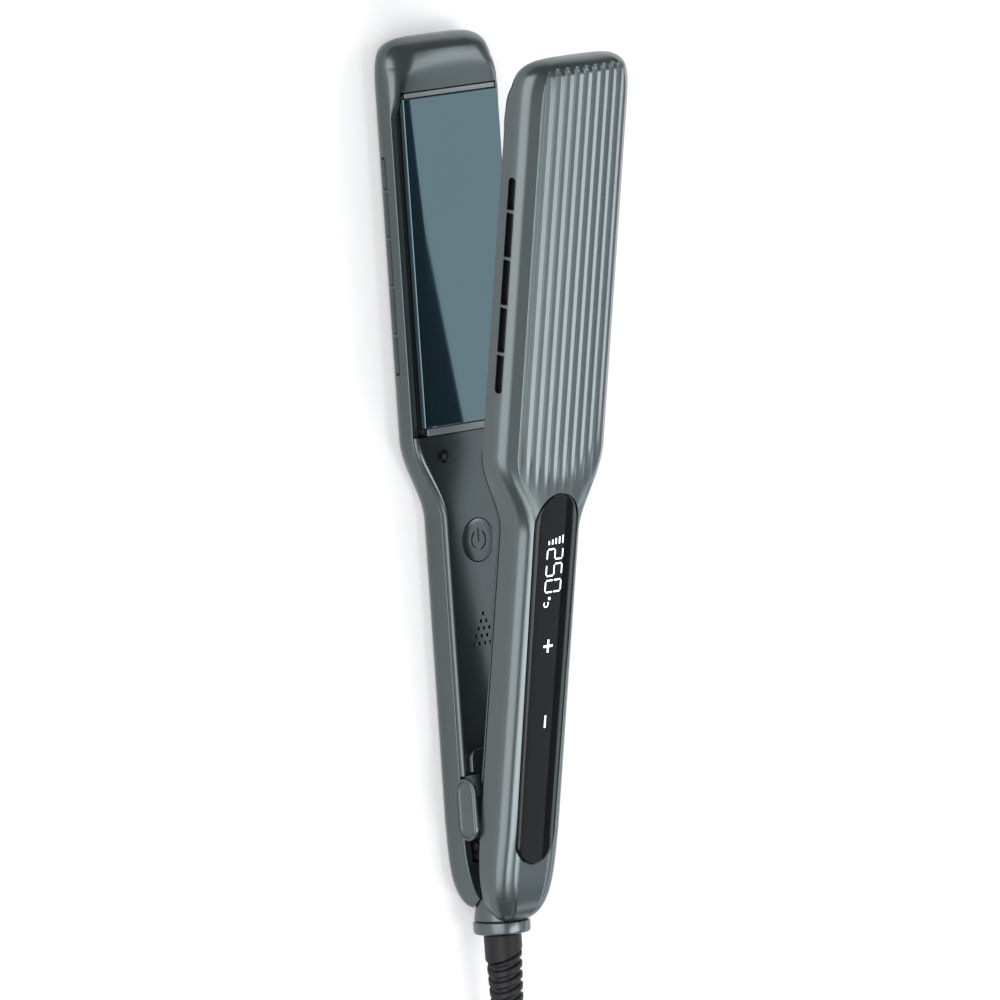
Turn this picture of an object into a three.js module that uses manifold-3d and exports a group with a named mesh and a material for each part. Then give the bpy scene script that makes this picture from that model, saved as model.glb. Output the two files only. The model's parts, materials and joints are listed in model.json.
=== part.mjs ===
// A flat iron (hair straightener): two fluted arms on a rear hinge, with floating heating
// plates, a display on the upper arm, a lock slider, and a cord on a swivelling strain relief.
// Millimetres. +Z is up. The lower arm lies on its back, tips towards -X, cord towards +X.
//
// Both arms are drawn in one arm frame: x = -s, where s is the distance from the pivot
// towards the tip, y is across, and z = n, the distance outwards from the arm's rim plane.

import * as THREE from 'three';
import { mergeVertices } from 'three/addons/utils/BufferGeometryUtils.js';
import Module from 'manifold-3d';

const wasm = await Module();
wasm.setup();

// ---- driving dimensions -------------------------------------------------------------------

const GAP = 0.3; // between pieces that touch
const RIM_HEIGHT = 12.5; // from an arm's rim plane to its crest, so the lower rim is at z = 12.5
const CLOSED_RIM_GAP = 6.6; // between the two rim planes with the arms shut
const PIVOT_DEPTH = 0.6; // of the hinge axis below the lower rim plane
const OPEN_ANGLE = THREE.MathUtils.degToRad(10.8); // at rest, held by the spring
const PIVOT_X = 93.7; // puts the middle of the object's length at x = 0
const PIVOT_Z = RIM_HEIGHT - PIVOT_DEPTH;

const WALL = { side: 2.6, back: 2.2 };
const PLATE_ZONE = { halfWidth: 25.4, corner: 8, cornerHeight: 11.2 };
const HANDLE = { halfWidth: 14.4, corner: 6, cornerHeight: 11.9, flat: 6 };
const NECK = { start: 109.5, end: 138 };
const TIP = { start: 250, end: 271.4, rimPower: 2.5, outerPower: 5.5, edge: 6, drop: 0.28 };
const TAIL = { start: 8, lowerEnd: -22, upperEnd: -24, rimPower: 2.5, outerPower: 3.5, drop: 0.45 };
const FLUTES = { count: 10, pitch: 4.1, depth: 0.55, start: 127, end: 270 };
const NOSE = { start: 254, raise: 3, bevel: 2 };
const CAVITY = { start: -5.5, end: 253.5, neckStart: 109, neckEnd: 138 };
const VENTS = { edges: [160, 172.8, 188.9, 205.1, 221, 233.8], bridge: 1.3, height: 3, n: 5 };

const FRAME = { start: 138.8, end: 253.1, halfWidth: 22.2, top: -2.9, base: -0.4, depth: 3.8 };
const PLATE = { start: 141.5, end: 251.2, halfWidth: 21.9, proud: 3.1, thickness: 1.9 };
const RAIL = { inner: 6, outer: 8, depth: 2.6 };
const HEATER = { start: 150, end: 243, halfWidth: 5.6, thickness: 2.2 };
const COVER = { start: 24, end: 138.4, raise: 1.9, lip: 1.2, bevel: 0.8, neckBevel: 3.2 };

const BUTTON = { s: 101.8, radius: 7.15, gap: 0.35, stemRadius: 2, stemEnd: 1.9 };
const GRILLE = { s: 77.1, rowStep: 2.45, pitch: 2.5, rows: 5, radius: 0.6 };
const BUMPER = { s: 131.3, w: 13.3, radius: 1.6, clearance: 0.5, n: -2.55 };
const BOSS = { start: 25, end: 33, halfWidth: 12, corner: 3, height: 1.3, bevel: 0.3 };
const LENS = { start: -3, end: 123.8, tipHalf: 10, tailHalf: 8.8, base: 11.4, top: 12.75 };
const LOCK = { start: 2.6, end: 23.5, height: 9.4, n: -3.9, face: 16.4, back: 14.85, bevel: 0.4 };
const LOCK_STEM = { start: 9, end: 15, inner: 10, halfHeight: 1.7 };
const LOCK_BOLT = { start: 6, end: 17, inner: 9.4, outer: 10.8, below: 6, above: 2 };
const FUSE = { s: 129, w: 7, n: 5.2, radius: 1.5, length: 9 };
const BUZZER = { s: 72, radius: 4.5, low: 1.6, high: 4.7 };

// Boxes inside the arms, as opposite corners [s, w, n].
const POWER_SWITCH = [[99, -3, 2.9], [104.5, 3, 4.7]];
const MAIN_BOARD = [[40, -9.5, 5], [118, 9.5, 6.4]];
const DISPLAY_BOARD = [[40, -6.5, 6.2], [116, 6.5, 7.4]];
const DISPLAY_MODULE = [[86, -5, 7.7], [110, 5, 10.8]];
const MODULE_WINDOW = [[84, -6, 6], [112, 6, RIM_HEIGHT]];
const BLOCK = { axisN: -0.6, start: -6.5, waist: -14, shoulder: -20, neck: 6.9, collar: 9.3, ring: 9.7, end: -25.8 };
const CHEEK = { start: 4.5, end: -9, inner: 3.8, outer: 6, halfHeight: 3.4 };
const BORE = { end: -20, radius: 5 };
const DISC = { end: -21, radius: 4.5 };
const RING = { start: -26.1, end: -30.3, bore: 5.4, chamfer: 0.8 };
const PIN = { radius: 1.8, halfLength: 11.6 };
const RELIEF = { start: -30.6, end: -84, sleeve: 6.4, core: 5, rib: 6, ribs: 9, tip: 3.9 };
const CORD = { radius: 3.2, sides: 8 };

// The free cord's route, from the strain relief down to the surface and on to the hank.
const AXIS_Z = RIM_HEIGHT - BLOCK.axisN;
const RELIEF_END_X = PIVOT_X - RELIEF.end;
const CORD_LIFT = CORD.radius + 0.2; // of the centreline above the surface
const CORD_ROUTE = [
  [RELIEF_END_X + 0.4, 0, AXIS_Z],
  [RELIEF_END_X + 8, 0, AXIS_Z - 0.1],
  [RELIEF_END_X + 16, -0.2, AXIS_Z - 0.9],
  [RELIEF_END_X + 24, -0.8, AXIS_Z - 2.7],
  [RELIEF_END_X + 32, -2, AXIS_Z - 5],
  [RELIEF_END_X + 40, -4, AXIS_Z - 7.3],
  [RELIEF_END_X + 48, -7, CORD_LIFT + 0.9],
  [RELIEF_END_X + 57, -11.2, CORD_LIFT + 0.1],
  [RELIEF_END_X + 66, -15.8, CORD_LIFT],
  [RELIEF_END_X + 75, -20, CORD_LIFT],
  [RELIEF_END_X + 84, -23.2, CORD_LIFT + 0.4],
  [RELIEF_END_X + 92, -25, CORD_LIFT + 1],
];

// The hank: two layers of two nested turns, laid flat in line with the arms.
const HANK = { x: RELIEF_END_X + 112, run: 120, outer: 25.6, bottom: 1.4, layers: 2 };
const HANK_TOP = HANK.bottom + HANK.layers * 2 * CORD.radius;
const TIE = { x: HANK.x + 22, width: 12, thickness: 1, clearance: 0.3 };
const PLUG = { x: HANK.x + 62, y: -9, length: 34, halfWidth: 10, halfHeight: 6.5, nose: 9 };
const PLUG_PINS = { radius: 2, length: 19, spacing: 13 };
const PLUG_Z = HANK_TOP + GAP + PLUG.halfHeight;

// ---- materials ----------------------------------------------------------------------------

const COLOURS = {
  housing: [0x566062, 0.34, 0.15],
  cover: [0x3c4446, 0.4, 0.1],
  plate: [0x5f767e, 0.12, 0.85],
  dark_plastic: [0x16191a, 0.5, 0],
  lens: [0x050708, 0.05, 0],
  rubber: [0x101112, 0.75, 0],
  steel: [0xa9adb0, 0.3, 1],
  ceramic: [0xe6e2d8, 0.6, 0],
  silicone: [0x8d3b2f, 0.7, 0],
  board: [0x1c5a3a, 0.55, 0],
  brass: [0xb59a55, 0.3, 1],
  cord: [0x0b0b0c, 0.6, 0],
  display_light: [0xf4f6f8, 0.4, 0],
};

function material(slot) {
  const [color, roughness, metalness] = COLOURS[slot];
  return new THREE.MeshStandardMaterial({ color, roughness, metalness });
}

// ---- solids -------------------------------------------------------------------------------

function solid(geometry) {
  const bare = geometry.clone();
  bare.deleteAttribute('normal');
  bare.deleteAttribute('uv');
  const merged = mergeVertices(bare, 1e-4);
  return new wasm.Manifold(new wasm.Mesh({
    numProp: 3,
    vertProperties: new Float32Array(merged.attributes.position.array),
    triVerts: new Uint32Array(merged.index.array),
  }));
}

function geometryOf(manifold) {
  const mesh = manifold.getMesh();
  const geometry = new THREE.BufferGeometry();
  geometry.setAttribute('position', new THREE.BufferAttribute(mesh.vertProperties, 3));
  geometry.setIndex(new THREE.BufferAttribute(mesh.triVerts, 1));
  geometry.computeVertexNormals();
  return geometry;
}

function cut(geometry, tools) {
  return geometryOf(tools.reduce((left, tool) => left.subtract(solid(tool)), solid(geometry)));
}

function join(geometries) {
  return geometryOf(geometries.map(solid).reduce((sum, piece) => sum.add(piece)));
}

function signedVolume(points, triangles) {
  let volume = 0;
  for (const [a, b, c] of triangles) {
    volume += points[a].dot(new THREE.Vector3().crossVectors(points[b], points[c])) / 6;
  }
  return volume;
}

// Skins a row of equal-sized closed sections, and closes each end with a fan.
function loft(sections) {
  const size = sections[0].length;
  const points = sections.flat();
  const triangles = [];
  for (let row = 0; row + 1 < sections.length; row += 1) {
    for (let i = 0; i < size; i += 1) {
      const a = row * size + i;
      const b = row * size + (i + 1) % size;
      triangles.push([a, b, a + size], [b, b + size, a + size]);
    }
  }
  const last = (sections.length - 1) * size;
  const middle = (section) => section
    .reduce((sum, p) => sum.add(p), new THREE.Vector3()).divideScalar(size);
  points.push(middle(sections[0]), middle(sections[sections.length - 1]));
  for (let i = 0; i < size; i += 1) {
    const next = (i + 1) % size;
    triangles.push([points.length - 2, next, i], [points.length - 1, last + i, last + next]);
  }
  const outward = signedVolume(points, triangles) > 0;
  const geometry = new THREE.BufferGeometry().setFromPoints(points);
  geometry.setIndex(triangles.flatMap(([a, b, c]) => (outward ? [a, b, c] : [a, c, b])));
  geometry.computeVertexNormals();
  return geometry;
}

// A box between two arm-frame corners given as [s, w, n].
function armBox(from, to) {
  const size = from.map((value, i) => Math.abs(to[i] - value));
  const box = new THREE.BoxGeometry(...size);
  return box.translate(-(from[0] + to[0]) / 2, (from[1] + to[1]) / 2, (from[2] + to[2]) / 2);
}

// A cylinder along n, from one n to another.
function post(s, w, radius, from, to, sides = 16) {
  const length = to - from;
  const geometry = new THREE.CylinderGeometry(radius, radius, length, sides);
  return geometry.rotateX(Math.PI / 2).translate(-s, w, from + length / 2);
}

// A solid turned about the X axis, from [x, radius] pairs that start and end on the axis.
function turnedX(profile, sides) {
  const points = profile.map(([x, radius]) => new THREE.Vector2(radius, x));
  return new THREE.LatheGeometry(points, sides).rotateZ(-Math.PI / 2);
}

// The same about the Y axis.
function turnedY(profile, sides) {
  return new THREE.LatheGeometry(profile.map(([y, radius]) => new THREE.Vector2(radius, y)), sides);
}

// A box between two world corners.
function worldBox(from, to) {
  const size = from.map((value, i) => Math.abs(to[i] - value));
  const centre = from.map((value, i) => (value + to[i]) / 2);
  return new THREE.BoxGeometry(...size).translate(...centre);
}

function tube(points, radius, sides, steps) {
  const section = new THREE.Shape();
  section.absarc(0, 0, radius, 0, 2 * Math.PI, false);
  const curve = new THREE.CatmullRomCurve3(points.map((p) => new THREE.Vector3(...p)));
  const ring = new THREE.Shape(section.getPoints(sides).slice(0, -1));
  return new THREE.ExtrudeGeometry(ring, { steps, extrudePath: curve, bevelEnabled: false });
}

// ---- the arms' outline --------------------------------------------------------------------

const { clamp, lerp, smoothstep } = THREE.MathUtils;

function superellipse(t, power) {
  return (1 - clamp(t, 0, 0.985) ** power) ** (1 / power);
}

function neckBlend(s) {
  return smoothstep(s, NECK.start, NECK.end);
}

// Half-width at s, at the rim plane or at the outer corners, with rounded tip and tail.
function halfWidth(s, tailEnd, level = 'rim') {
  const full = lerp(HANDLE.halfWidth, PLATE_ZONE.halfWidth, neckBlend(s));
  const tip = (s - TIP.start) / (TIP.end - TIP.start);
  const tail = (TAIL.start - s) / (TAIL.start - tailEnd);
  return full * superellipse(tip, TIP[`${level}Power`]) * superellipse(tail, TAIL[`${level}Power`]);
}

// How much of the arm's depth is left where the back rolls over at the tip and the tail.
function depthLeft(s, tailEnd) {
  const tip = clamp((s - TIP.end + TIP.edge) / TIP.edge, 0, 1);
  const tail = clamp((TAIL.start - s) / (TAIL.start - tailEnd), 0, 1);
  return 1 - TIP.drop * tip ** 3 - TAIL.drop * (0.25 * tail + 0.75 * tail ** 8);
}

function fluteDepth(s) {
  const fadeIn = smoothstep(s, FLUTES.start - 2, FLUTES.start + 6);
  return FLUTES.depth * fadeIn * (1 - smoothstep(s, FLUTES.end - 4, FLUTES.end + 1));
}

// One closed section across an arm: along the rim, up the sides and over the fluted back.
function armSection(s, tailEnd) {
  const rim = halfWidth(s, tailEnd, 'rim');
  const outer = halfWidth(s, tailEnd, 'outer');
  const blend = neckBlend(s);
  const radius = Math.min(lerp(HANDLE.corner, PLATE_ZONE.corner, blend), 0.55 * outer);
  const cornerHeight = lerp(HANDLE.cornerHeight, PLATE_ZONE.cornerHeight, blend);
  const flat = HANDLE.flat * (1 - blend) * (outer / HANDLE.halfWidth);
  const shoulder = outer - radius;
  const depth = depthLeft(s, tailEnd);
  const inNose = s > NOSE.start;
  const base = inNose ? -NOSE.raise : 0;
  const bevel = inNose ? Math.min(NOSE.bevel, 0.4 * rim) : GAP;
  const half = [[rim - bevel, base], [rim, base + bevel]];
  for (const angle of [0, Math.PI / 8, Math.PI / 4]) {
    const n = cornerHeight - radius + radius * Math.sin(angle);
    half.push([shoulder + radius * Math.cos(angle), n * depth]);
  }
  for (let k = FLUTES.count; k > 0; k -= 1) {
    const w = (k * FLUTES.pitch / 2) * (outer / PLATE_ZONE.halfWidth);
    half.push([w, backHeight(w, k)]);
  }
  function backHeight(w, k) {
    const channel = k % 2 === 0 && k < FLUTES.count ? fluteDepth(s) : 0;
    if (w > shoulder) {
      const arc = Math.sqrt(radius ** 2 - (w - shoulder) ** 2);
      return (cornerHeight - radius + arc) * depth - channel;
    }
    const across = Math.max(0, w - flat) / (shoulder - flat);
    return lerp(RIM_HEIGHT, cornerHeight, across ** 2) * depth - channel;
  }
  const left = half.map(([w, n]) => new THREE.Vector3(-s, -w, n));
  const right = half.map(([w, n]) => new THREE.Vector3(-s, w, n)).reverse();
  return [...left, new THREE.Vector3(-s, 0, backHeight(0, 0)), ...right];
}

function armBody(tailEnd) {
  const tail = [0, 0.4, 1.2, 3, 6, 11, 17].map((step) => tailEnd + step);
  const neck = [109, 114, 118.5, 123, 127, 130.5, 134, 138];
  const tip = [18.75, 18.45, 12, 7.5, 4.5, 2.6, 1.2, 0.4, 0].map((step) => TIP.end - step);
  const stations = [...tail, TAIL.start, ...neck, ...tip];
  return loft(stations.map((s) => armSection(s, tailEnd)));
}

// The hollow inside an arm, open at the rim.
function armCavity(tailEnd) {
  const stations = [CAVITY.start, TAIL.start, CAVITY.neckStart, 116, 123, 130, CAVITY.neckEnd, CAVITY.end];
  return loft(stations.map((s) => {
    const rim = halfWidth(s, tailEnd, 'rim');
    const inside = rim - WALL.side;
    const depth = depthLeft(s, tailEnd);
    const ceiling = RIM_HEIGHT - WALL.back;
    const half = [
      [inside, -NOSE.raise],
      [inside, 0.4 * ceiling * depth],
      [inside * 0.85, 0.74 * ceiling * depth],
      [inside * 0.5, 0.94 * ceiling * depth],
    ];
    const left = half.map(([w, n]) => new THREE.Vector3(-s, -w, n));
    const right = half.map(([w, n]) => new THREE.Vector3(-s, w, n)).reverse();
    return [...left, new THREE.Vector3(-s, 0, ceiling * depth), ...right];
  }));
}

function ventTools() {
  const tools = [];
  for (let i = 0; i + 1 < VENTS.edges.length; i += 1) {
    const from = VENTS.edges[i] + VENTS.bridge / 2;
    const to = VENTS.edges[i + 1] - VENTS.bridge / 2;
    const low = VENTS.n - VENTS.height / 2;
    for (const side of [-1, 1]) {
      const outside = side * (PLATE_ZONE.halfWidth + 1);
      const inside = side * (PLATE_ZONE.halfWidth - WALL.side - 1);
      tools.push(armBox([from, inside, low], [to, outside, low + VENTS.height]));
    }
  }
  return tools;
}

const NOSE_HOLLOW = { length: 10, halfWidth: 17, from: 1.5, to: 8.5 };

function armShell(tailEnd, extraTools) {
  const { length, halfWidth: half, from, to } = NOSE_HOLLOW;
  const noseHollow = armBox([CAVITY.end - 1, -half, from], [CAVITY.end + length, half, to]);
  return cut(armBody(tailEnd), [armCavity(tailEnd), noseHollow, ...ventTools(), ...extraTools]);
}

// ---- pieces that both arms have -----------------------------------------------------------

function coverSection(s) {
  const width = halfWidth(s, TAIL.lowerEnd) - GAP / 2;
  const bevel = lerp(COVER.bevel, COVER.neckBevel, smoothstep(s, NECK.start, NECK.end));
  const drop = COVER.raise - GAP;
  const half = [
    [width - WALL.side - 2 * GAP, COVER.lip],
    [width - WALL.side - 2 * GAP, -GAP],
    [width, -GAP],
    [width - 0.3 * bevel, -GAP - 0.7 * drop],
    [width - bevel, -COVER.raise],
  ];
  const left = half.map(([w, n]) => new THREE.Vector3(-s, -w, n));
  const right = half.map(([w, n]) => new THREE.Vector3(-s, w, n)).reverse();
  return [...left, ...right];
}

function innerCover(tools) {
  const stations = [COVER.start, 109, 114, 119, 124, 129, 134, COVER.end];
  const cover = loft(stations.map(coverSection));
  return tools.length ? cut(cover, tools) : cover;
}

const FRAME_SCREW = { s: [147, 245], w: 16, hole: 1.8, shank: 1.4, head: 2.5, recess: 2.9 };

function frameScrewPlaces() {
  return FRAME_SCREW.s.flatMap((s) => [[s, -FRAME_SCREW.w], [s, FRAME_SCREW.w]]);
}

function plateFrame() {
  const { start, end, halfWidth: half, top, base, depth } = FRAME;
  const body = join([
    armBox([start, -half, base], [end, half, depth]),
    armBox([start, -half, top], [PLATE.start - GAP, half, 1]),
    armBox([PLATE.end + GAP, -half, top], [end, half, 1]),
  ]);
  const slot = RAIL.outer + 0.6;
  const rails = armBox([PLATE.start + 3, -slot, -5], [PLATE.end - 3, slot, depth + 1]);
  const holes = frameScrewPlaces().flatMap(([s, w]) => [
    post(s, w, FRAME_SCREW.hole, -1, depth + 1, 10),
    post(s, w, FRAME_SCREW.recess, -1, 2, 10),
  ]);
  return cut(body, [rails, ...holes]);
}

function frameScrew(s, w) {
  return join([
    post(s, w, FRAME_SCREW.head, 0, 1.6, 10),
    post(s, w, FRAME_SCREW.shank, 1, 7.6, 8),
  ]);
}

function heatingPlate() {
  const slab = -PLATE.proud + PLATE.thickness;
  const { start, end, halfWidth: half } = PLATE;
  const rail = (side) => armBox(
    [start + 4, side * RAIL.inner, slab - 1],
    [end - 4, side * RAIL.outer, RAIL.depth],
  );
  return join([armBox([start, -half, -PLATE.proud], [end, half, slab]), rail(-1), rail(1)]);
}

const HEATER_TOP = -PLATE.proud + PLATE.thickness + GAP;

function heaterBar() {
  const { start, end, halfWidth: half, thickness } = HEATER;
  return armBox([start, -half, HEATER_TOP], [end, half, HEATER_TOP + thickness]);
}

function heaterClamp() {
  const from = HEATER_TOP + HEATER.thickness + GAP;
  const half = HEATER.halfWidth;
  return armBox([HEATER.start + 10, -half, from], [HEATER.end - 10, half, from + 0.6]);
}

const CUSHION = { places: [HEATER.start + 20, HEATER.end - 20], half: 5.5, top: 9 };

function plateCushion(s) {
  const { half, top } = CUSHION;
  return armBox([s - half, -half, RAIL.depth + 0.9], [s + half, half, top]);
}

function thermalFuse() {
  const fuse = new THREE.CylinderGeometry(FUSE.radius, FUSE.radius, FUSE.length, 12);
  return fuse.rotateZ(Math.PI / 2).translate(-FUSE.s, FUSE.w, FUSE.n);
}

// ---- lower arm only -----------------------------------------------------------------------

function grilleTools() {
  const tools = [];
  for (let row = 0; row < GRILLE.rows; row += 1) {
    for (let i = 0; i <= row; i += 1) {
      const w = (i - row / 2) * GRILLE.pitch;
      tools.push(post(GRILLE.s - row * GRILLE.rowStep, w, GRILLE.radius, -4, 3, 6));
    }
  }
  return tools;
}

function bumperPost(side, radius) {
  return post(BUMPER.s, side * BUMPER.w, radius, -4, -0.6, 12);
}

function lowerCover() {
  const hole = post(BUTTON.s, 0, BUTTON.radius + BUTTON.gap, -4, 3, 28);
  const recesses = [-1, 1].map((side) => bumperPost(side, BUMPER.radius + BUMPER.clearance));
  return innerCover([hole, ...recesses, ...grilleTools()]);
}

function stopBumper(side) {
  const ball = new THREE.SphereGeometry(BUMPER.radius, 12, 8);
  return ball.translate(-BUMPER.s, side * BUMPER.w, BUMPER.n);
}

function powerButton() {
  const cap = post(BUTTON.s, 0, BUTTON.radius, -COVER.raise - 0.1, 0.6, 28);
  return join([cap, post(BUTTON.s, 0, BUTTON.stemRadius, 0.2, BUTTON.stemEnd, 12)]);
}

function hingeBoss() {
  const { start, end, halfWidth: half, corner, height, bevel } = BOSS;
  const shape = new THREE.Shape();
  shape.moveTo(-start, -half);
  shape.lineTo(-start, half);
  shape.lineTo(-end + corner, half);
  shape.absarc(-end + corner, half - corner, corner, Math.PI / 2, Math.PI, false);
  shape.absarc(-end + corner, -half + corner, corner, Math.PI, 1.5 * Math.PI, false);
  const block = new THREE.ExtrudeGeometry(shape, {
    depth: height, bevelThickness: bevel, bevelSize: bevel, bevelSegments: 1, curveSegments: 4,
  });
  return block.translate(0, 0, -COVER.raise - GAP - height - bevel);
}

// ---- upper arm only -----------------------------------------------------------------------

function lensShape(grow) {
  const tip = LENS.tipHalf;
  const tail = LENS.tailHalf;
  const shape = new THREE.Shape();
  shape.absarc(-LENS.end + tip, 0, tip + grow, Math.PI / 2, 1.5 * Math.PI, false);
  shape.absarc(-LENS.start - tail, 0, tail + grow, -Math.PI / 2, Math.PI / 2, false);
  return shape;
}

function displayLens() {
  const bevelSize = 2.2;
  const bevelThickness = 0.7;
  const depth = LENS.top - LENS.base - bevelThickness;
  const slab = new THREE.ExtrudeGeometry(lensShape(0), { depth, bevelEnabled: false, curveSegments: 9 });
  const dome = new THREE.ExtrudeGeometry(lensShape(-bevelSize), {
    depth: 0.01, bevelThickness, bevelSize, bevelSegments: 2, curveSegments: 9,
  });
  slab.translate(0, 0, LENS.base);
  dome.translate(0, 0, LENS.base + depth - 0.01);
  return join([slab, dome]);
}

function lensPocket() {
  const pocket = new THREE.ExtrudeGeometry(lensShape(GAP), {
    depth: 4, bevelEnabled: false, curveSegments: 9,
  });
  return pocket.translate(0, 0, LENS.base - GAP);
}

const BRACKET = { inner: 6.5, outer: 8.7, halfLength: 4.5, bore: 3 };

function pivotRound(radius, from, to) {
  const length = to - from;
  const round = new THREE.CylinderGeometry(radius, radius, length, 20);
  return round.translate(0, from + length / 2, -CLOSED_RIM_GAP - PIVOT_DEPTH);
}

// A bridge under the upper shell with a lug each side of the tail block, bored for the bushes.
function hingeBracket() {
  const { inner, outer, halfLength, bore } = BRACKET;
  const pivotN = -CLOSED_RIM_GAP - PIVOT_DEPTH;
  const lug = (side) => join([
    armBox([-halfLength, side * inner, pivotN], [halfLength, side * outer, 7]),
    pivotRound(halfLength, Math.min(side * inner, side * outer), Math.max(side * inner, side * outer)),
  ]);
  const bridge = armBox([-halfLength, -outer, 5.4], [halfLength, outer, 7]);
  return cut(join([lug(-1), lug(1), bridge]), [pivotRound(bore, -outer - 1, outer + 1)]);
}

// ---- hinge, tail and lock, in world axes --------------------------------------------------

const atS = (s) => PIVOT_X - s;

function hingePin() {
  const half = PIN.halfLength - 2;
  const pin = turnedY([[-half, 0], [-half, PIN.radius], [half, PIN.radius], [half, 0]], 16);
  return pin.translate(PIVOT_X, 0, PIVOT_Z);
}

function hingeBush(side) {
  const inner = PIN.radius + GAP;
  const outer = BRACKET.bore - GAP;
  const from = BRACKET.inner;
  const to = BRACKET.outer;
  const ring = turnedY([[from, inner], [from, outer], [to, outer], [to, inner], [from, inner]], 16);
  if (side < 0) {
    ring.rotateX(Math.PI);
  }
  return ring.translate(PIVOT_X, 0, PIVOT_Z);
}

const SPRING = { coil: 2.9, wire: 0.5, turns: 3, halfWidth: 2.4, leg: 6 };

function hingeSpring() {
  const points = [];
  const perTurn = 8;
  const total = SPRING.turns * perTurn;
  points.push([SPRING.leg, -SPRING.halfWidth - 0.2, SPRING.coil]);
  for (let i = 0; i <= total; i += 1) {
    const angle = Math.PI / 2 + (2 * Math.PI * i) / perTurn;
    const y = lerp(-SPRING.halfWidth, SPRING.halfWidth, i / total);
    points.push([SPRING.coil * Math.cos(angle), y, SPRING.coil * Math.sin(angle)]);
  }
  points.push([-SPRING.leg, SPRING.halfWidth + 0.2, SPRING.coil]);
  const placed = points.map(([x, y, z]) => [PIVOT_X + x, y, PIVOT_Z + z]);
  return tube(placed, SPRING.wire, 5, 40);
}

// The block's outline about the tail axis, grown by a clearance for the cuts around it.
function blockProfile(grow, reach = 0) {
  return [
    [atS(BLOCK.start) - grow - reach, 0],
    [atS(BLOCK.start) - grow - reach, BLOCK.neck + 0.3 + grow],
    [atS(BLOCK.waist), BLOCK.neck + 1.1 + grow],
    [atS(BLOCK.shoulder), BLOCK.collar - 1.1 + grow],
    [atS(BLOCK.end) + grow, BLOCK.collar + grow],
    [atS(BLOCK.end) + grow, 0],
  ];
}

function aboutTail(geometry) {
  return geometry.translate(0, 0, AXIS_Z);
}

function tailBlock() {
  const body = aboutTail(turnedX(blockProfile(0), 28));
  const cheek = (side) => worldBox(
    [atS(CHEEK.end), side * CHEEK.inner, PIVOT_Z - CHEEK.halfHeight],
    [atS(CHEEK.start), side * CHEEK.outer, PIVOT_Z + CHEEK.halfHeight],
  );
  const bore = aboutTail(turnedX([
    [atS(BORE.end), 0],
    [atS(BORE.end), BORE.radius],
    [atS(BLOCK.end) + 1, BORE.radius],
    [atS(BLOCK.end) + 1, 0],
  ], 20));
  const hole = turnedY([[-8, 0], [-8, PIN.radius + GAP], [8, PIN.radius + GAP], [8, 0]], 16);
  hole.translate(PIVOT_X, 0, PIVOT_Z);
  return cut(join([body, cheek(-1), cheek(1)]), [bore, hole]);
}

// A clearance for the tail block, in the frame of an arm placed by the given matrix.
function blockClearance(armMatrix) {
  const tool = aboutTail(turnedX(blockProfile(0.6, 1), 28));
  return tool.applyMatrix4(armMatrix.clone().invert());
}

function swivelRing() {
  const [from, to, inner] = [atS(RING.start), atS(RING.end), RING.bore];
  return aboutTail(turnedX([
    [from, inner],
    [from, BLOCK.ring],
    [to - RING.chamfer, BLOCK.ring],
    [to, BLOCK.ring - RING.chamfer],
    [to, inner],
    [from, inner],
  ], 28));
}

function swivelDisc() {
  const [from, to, r] = [atS(DISC.end), atS(RELIEF.start) - GAP, DISC.radius];
  return aboutTail(turnedX([[from, 0], [from, r], [to, r], [to, 0]], 20));
}

function strainRelief() {
  const profile = [[atS(RELIEF.start), 0], [atS(RELIEF.start), RELIEF.sleeve]];
  const ribsStart = RELIEF.start - 8.5;
  const step = (ribsStart - RELIEF.end - 3) / RELIEF.ribs;
  profile.push([atS(ribsStart), RELIEF.sleeve - 0.3]);
  for (let i = 0; i < RELIEF.ribs; i += 1) {
    const from = ribsStart - i * step;
    const taper = i / RELIEF.ribs;
    const core = lerp(RELIEF.core, RELIEF.tip, taper);
    const rib = lerp(RELIEF.rib, RELIEF.tip + 0.7, taper);
    profile.push([atS(from), core], [atS(from - 0.45 * step), core]);
    profile.push([atS(from - 0.45 * step), rib], [atS(from - step), rib]);
  }
  profile.push([atS(RELIEF.end), RELIEF.tip], [atS(RELIEF.end), 0]);
  return aboutTail(turnedX(profile, 14));
}

function stadium(x0, x1, radius, hole = 0) {
  const outline = (r) => {
    const path = new THREE.Shape();
    path.absarc(x0 + radius, 0, r, Math.PI / 2, 1.5 * Math.PI, false);
    path.absarc(x1 - radius, 0, r, -Math.PI / 2, Math.PI / 2, false);
    return path;
  };
  const shape = outline(radius);
  if (hole > 0) {
    shape.holes.push(outline(hole));
  }
  return shape;
}

// The knob stands proud of the arms' near side; its stem reaches a bolt between the arms.
function lockSlider() {
  const { start, end, height, n, face, back, bevel } = LOCK;
  const z = RIM_HEIGHT - n;
  const shape = stadium(atS(end) + bevel, atS(start) - bevel, height / 2 - bevel);
  const knob = new THREE.ExtrudeGeometry(shape, {
    depth: face - back - 2 * bevel, bevelThickness: bevel, bevelSize: bevel, bevelSegments: 1,
    curveSegments: 8,
  });
  knob.rotateX(Math.PI / 2).translate(0, -back - bevel, z);
  const stem = worldBox(
    [atS(LOCK_STEM.end), -back - 0.5, z - LOCK_STEM.halfHeight],
    [atS(LOCK_STEM.start), -LOCK_STEM.inner, z + LOCK_STEM.halfHeight],
  );
  const bolt = worldBox(
    [atS(LOCK_BOLT.end), -LOCK_BOLT.outer, z - LOCK_BOLT.below],
    [atS(LOCK_BOLT.start), -LOCK_BOLT.inner, z + LOCK_BOLT.above],
  );
  return join([knob, stem, bolt]);
}

// ---- cord, hank, tie and plug -------------------------------------------------------------

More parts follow.
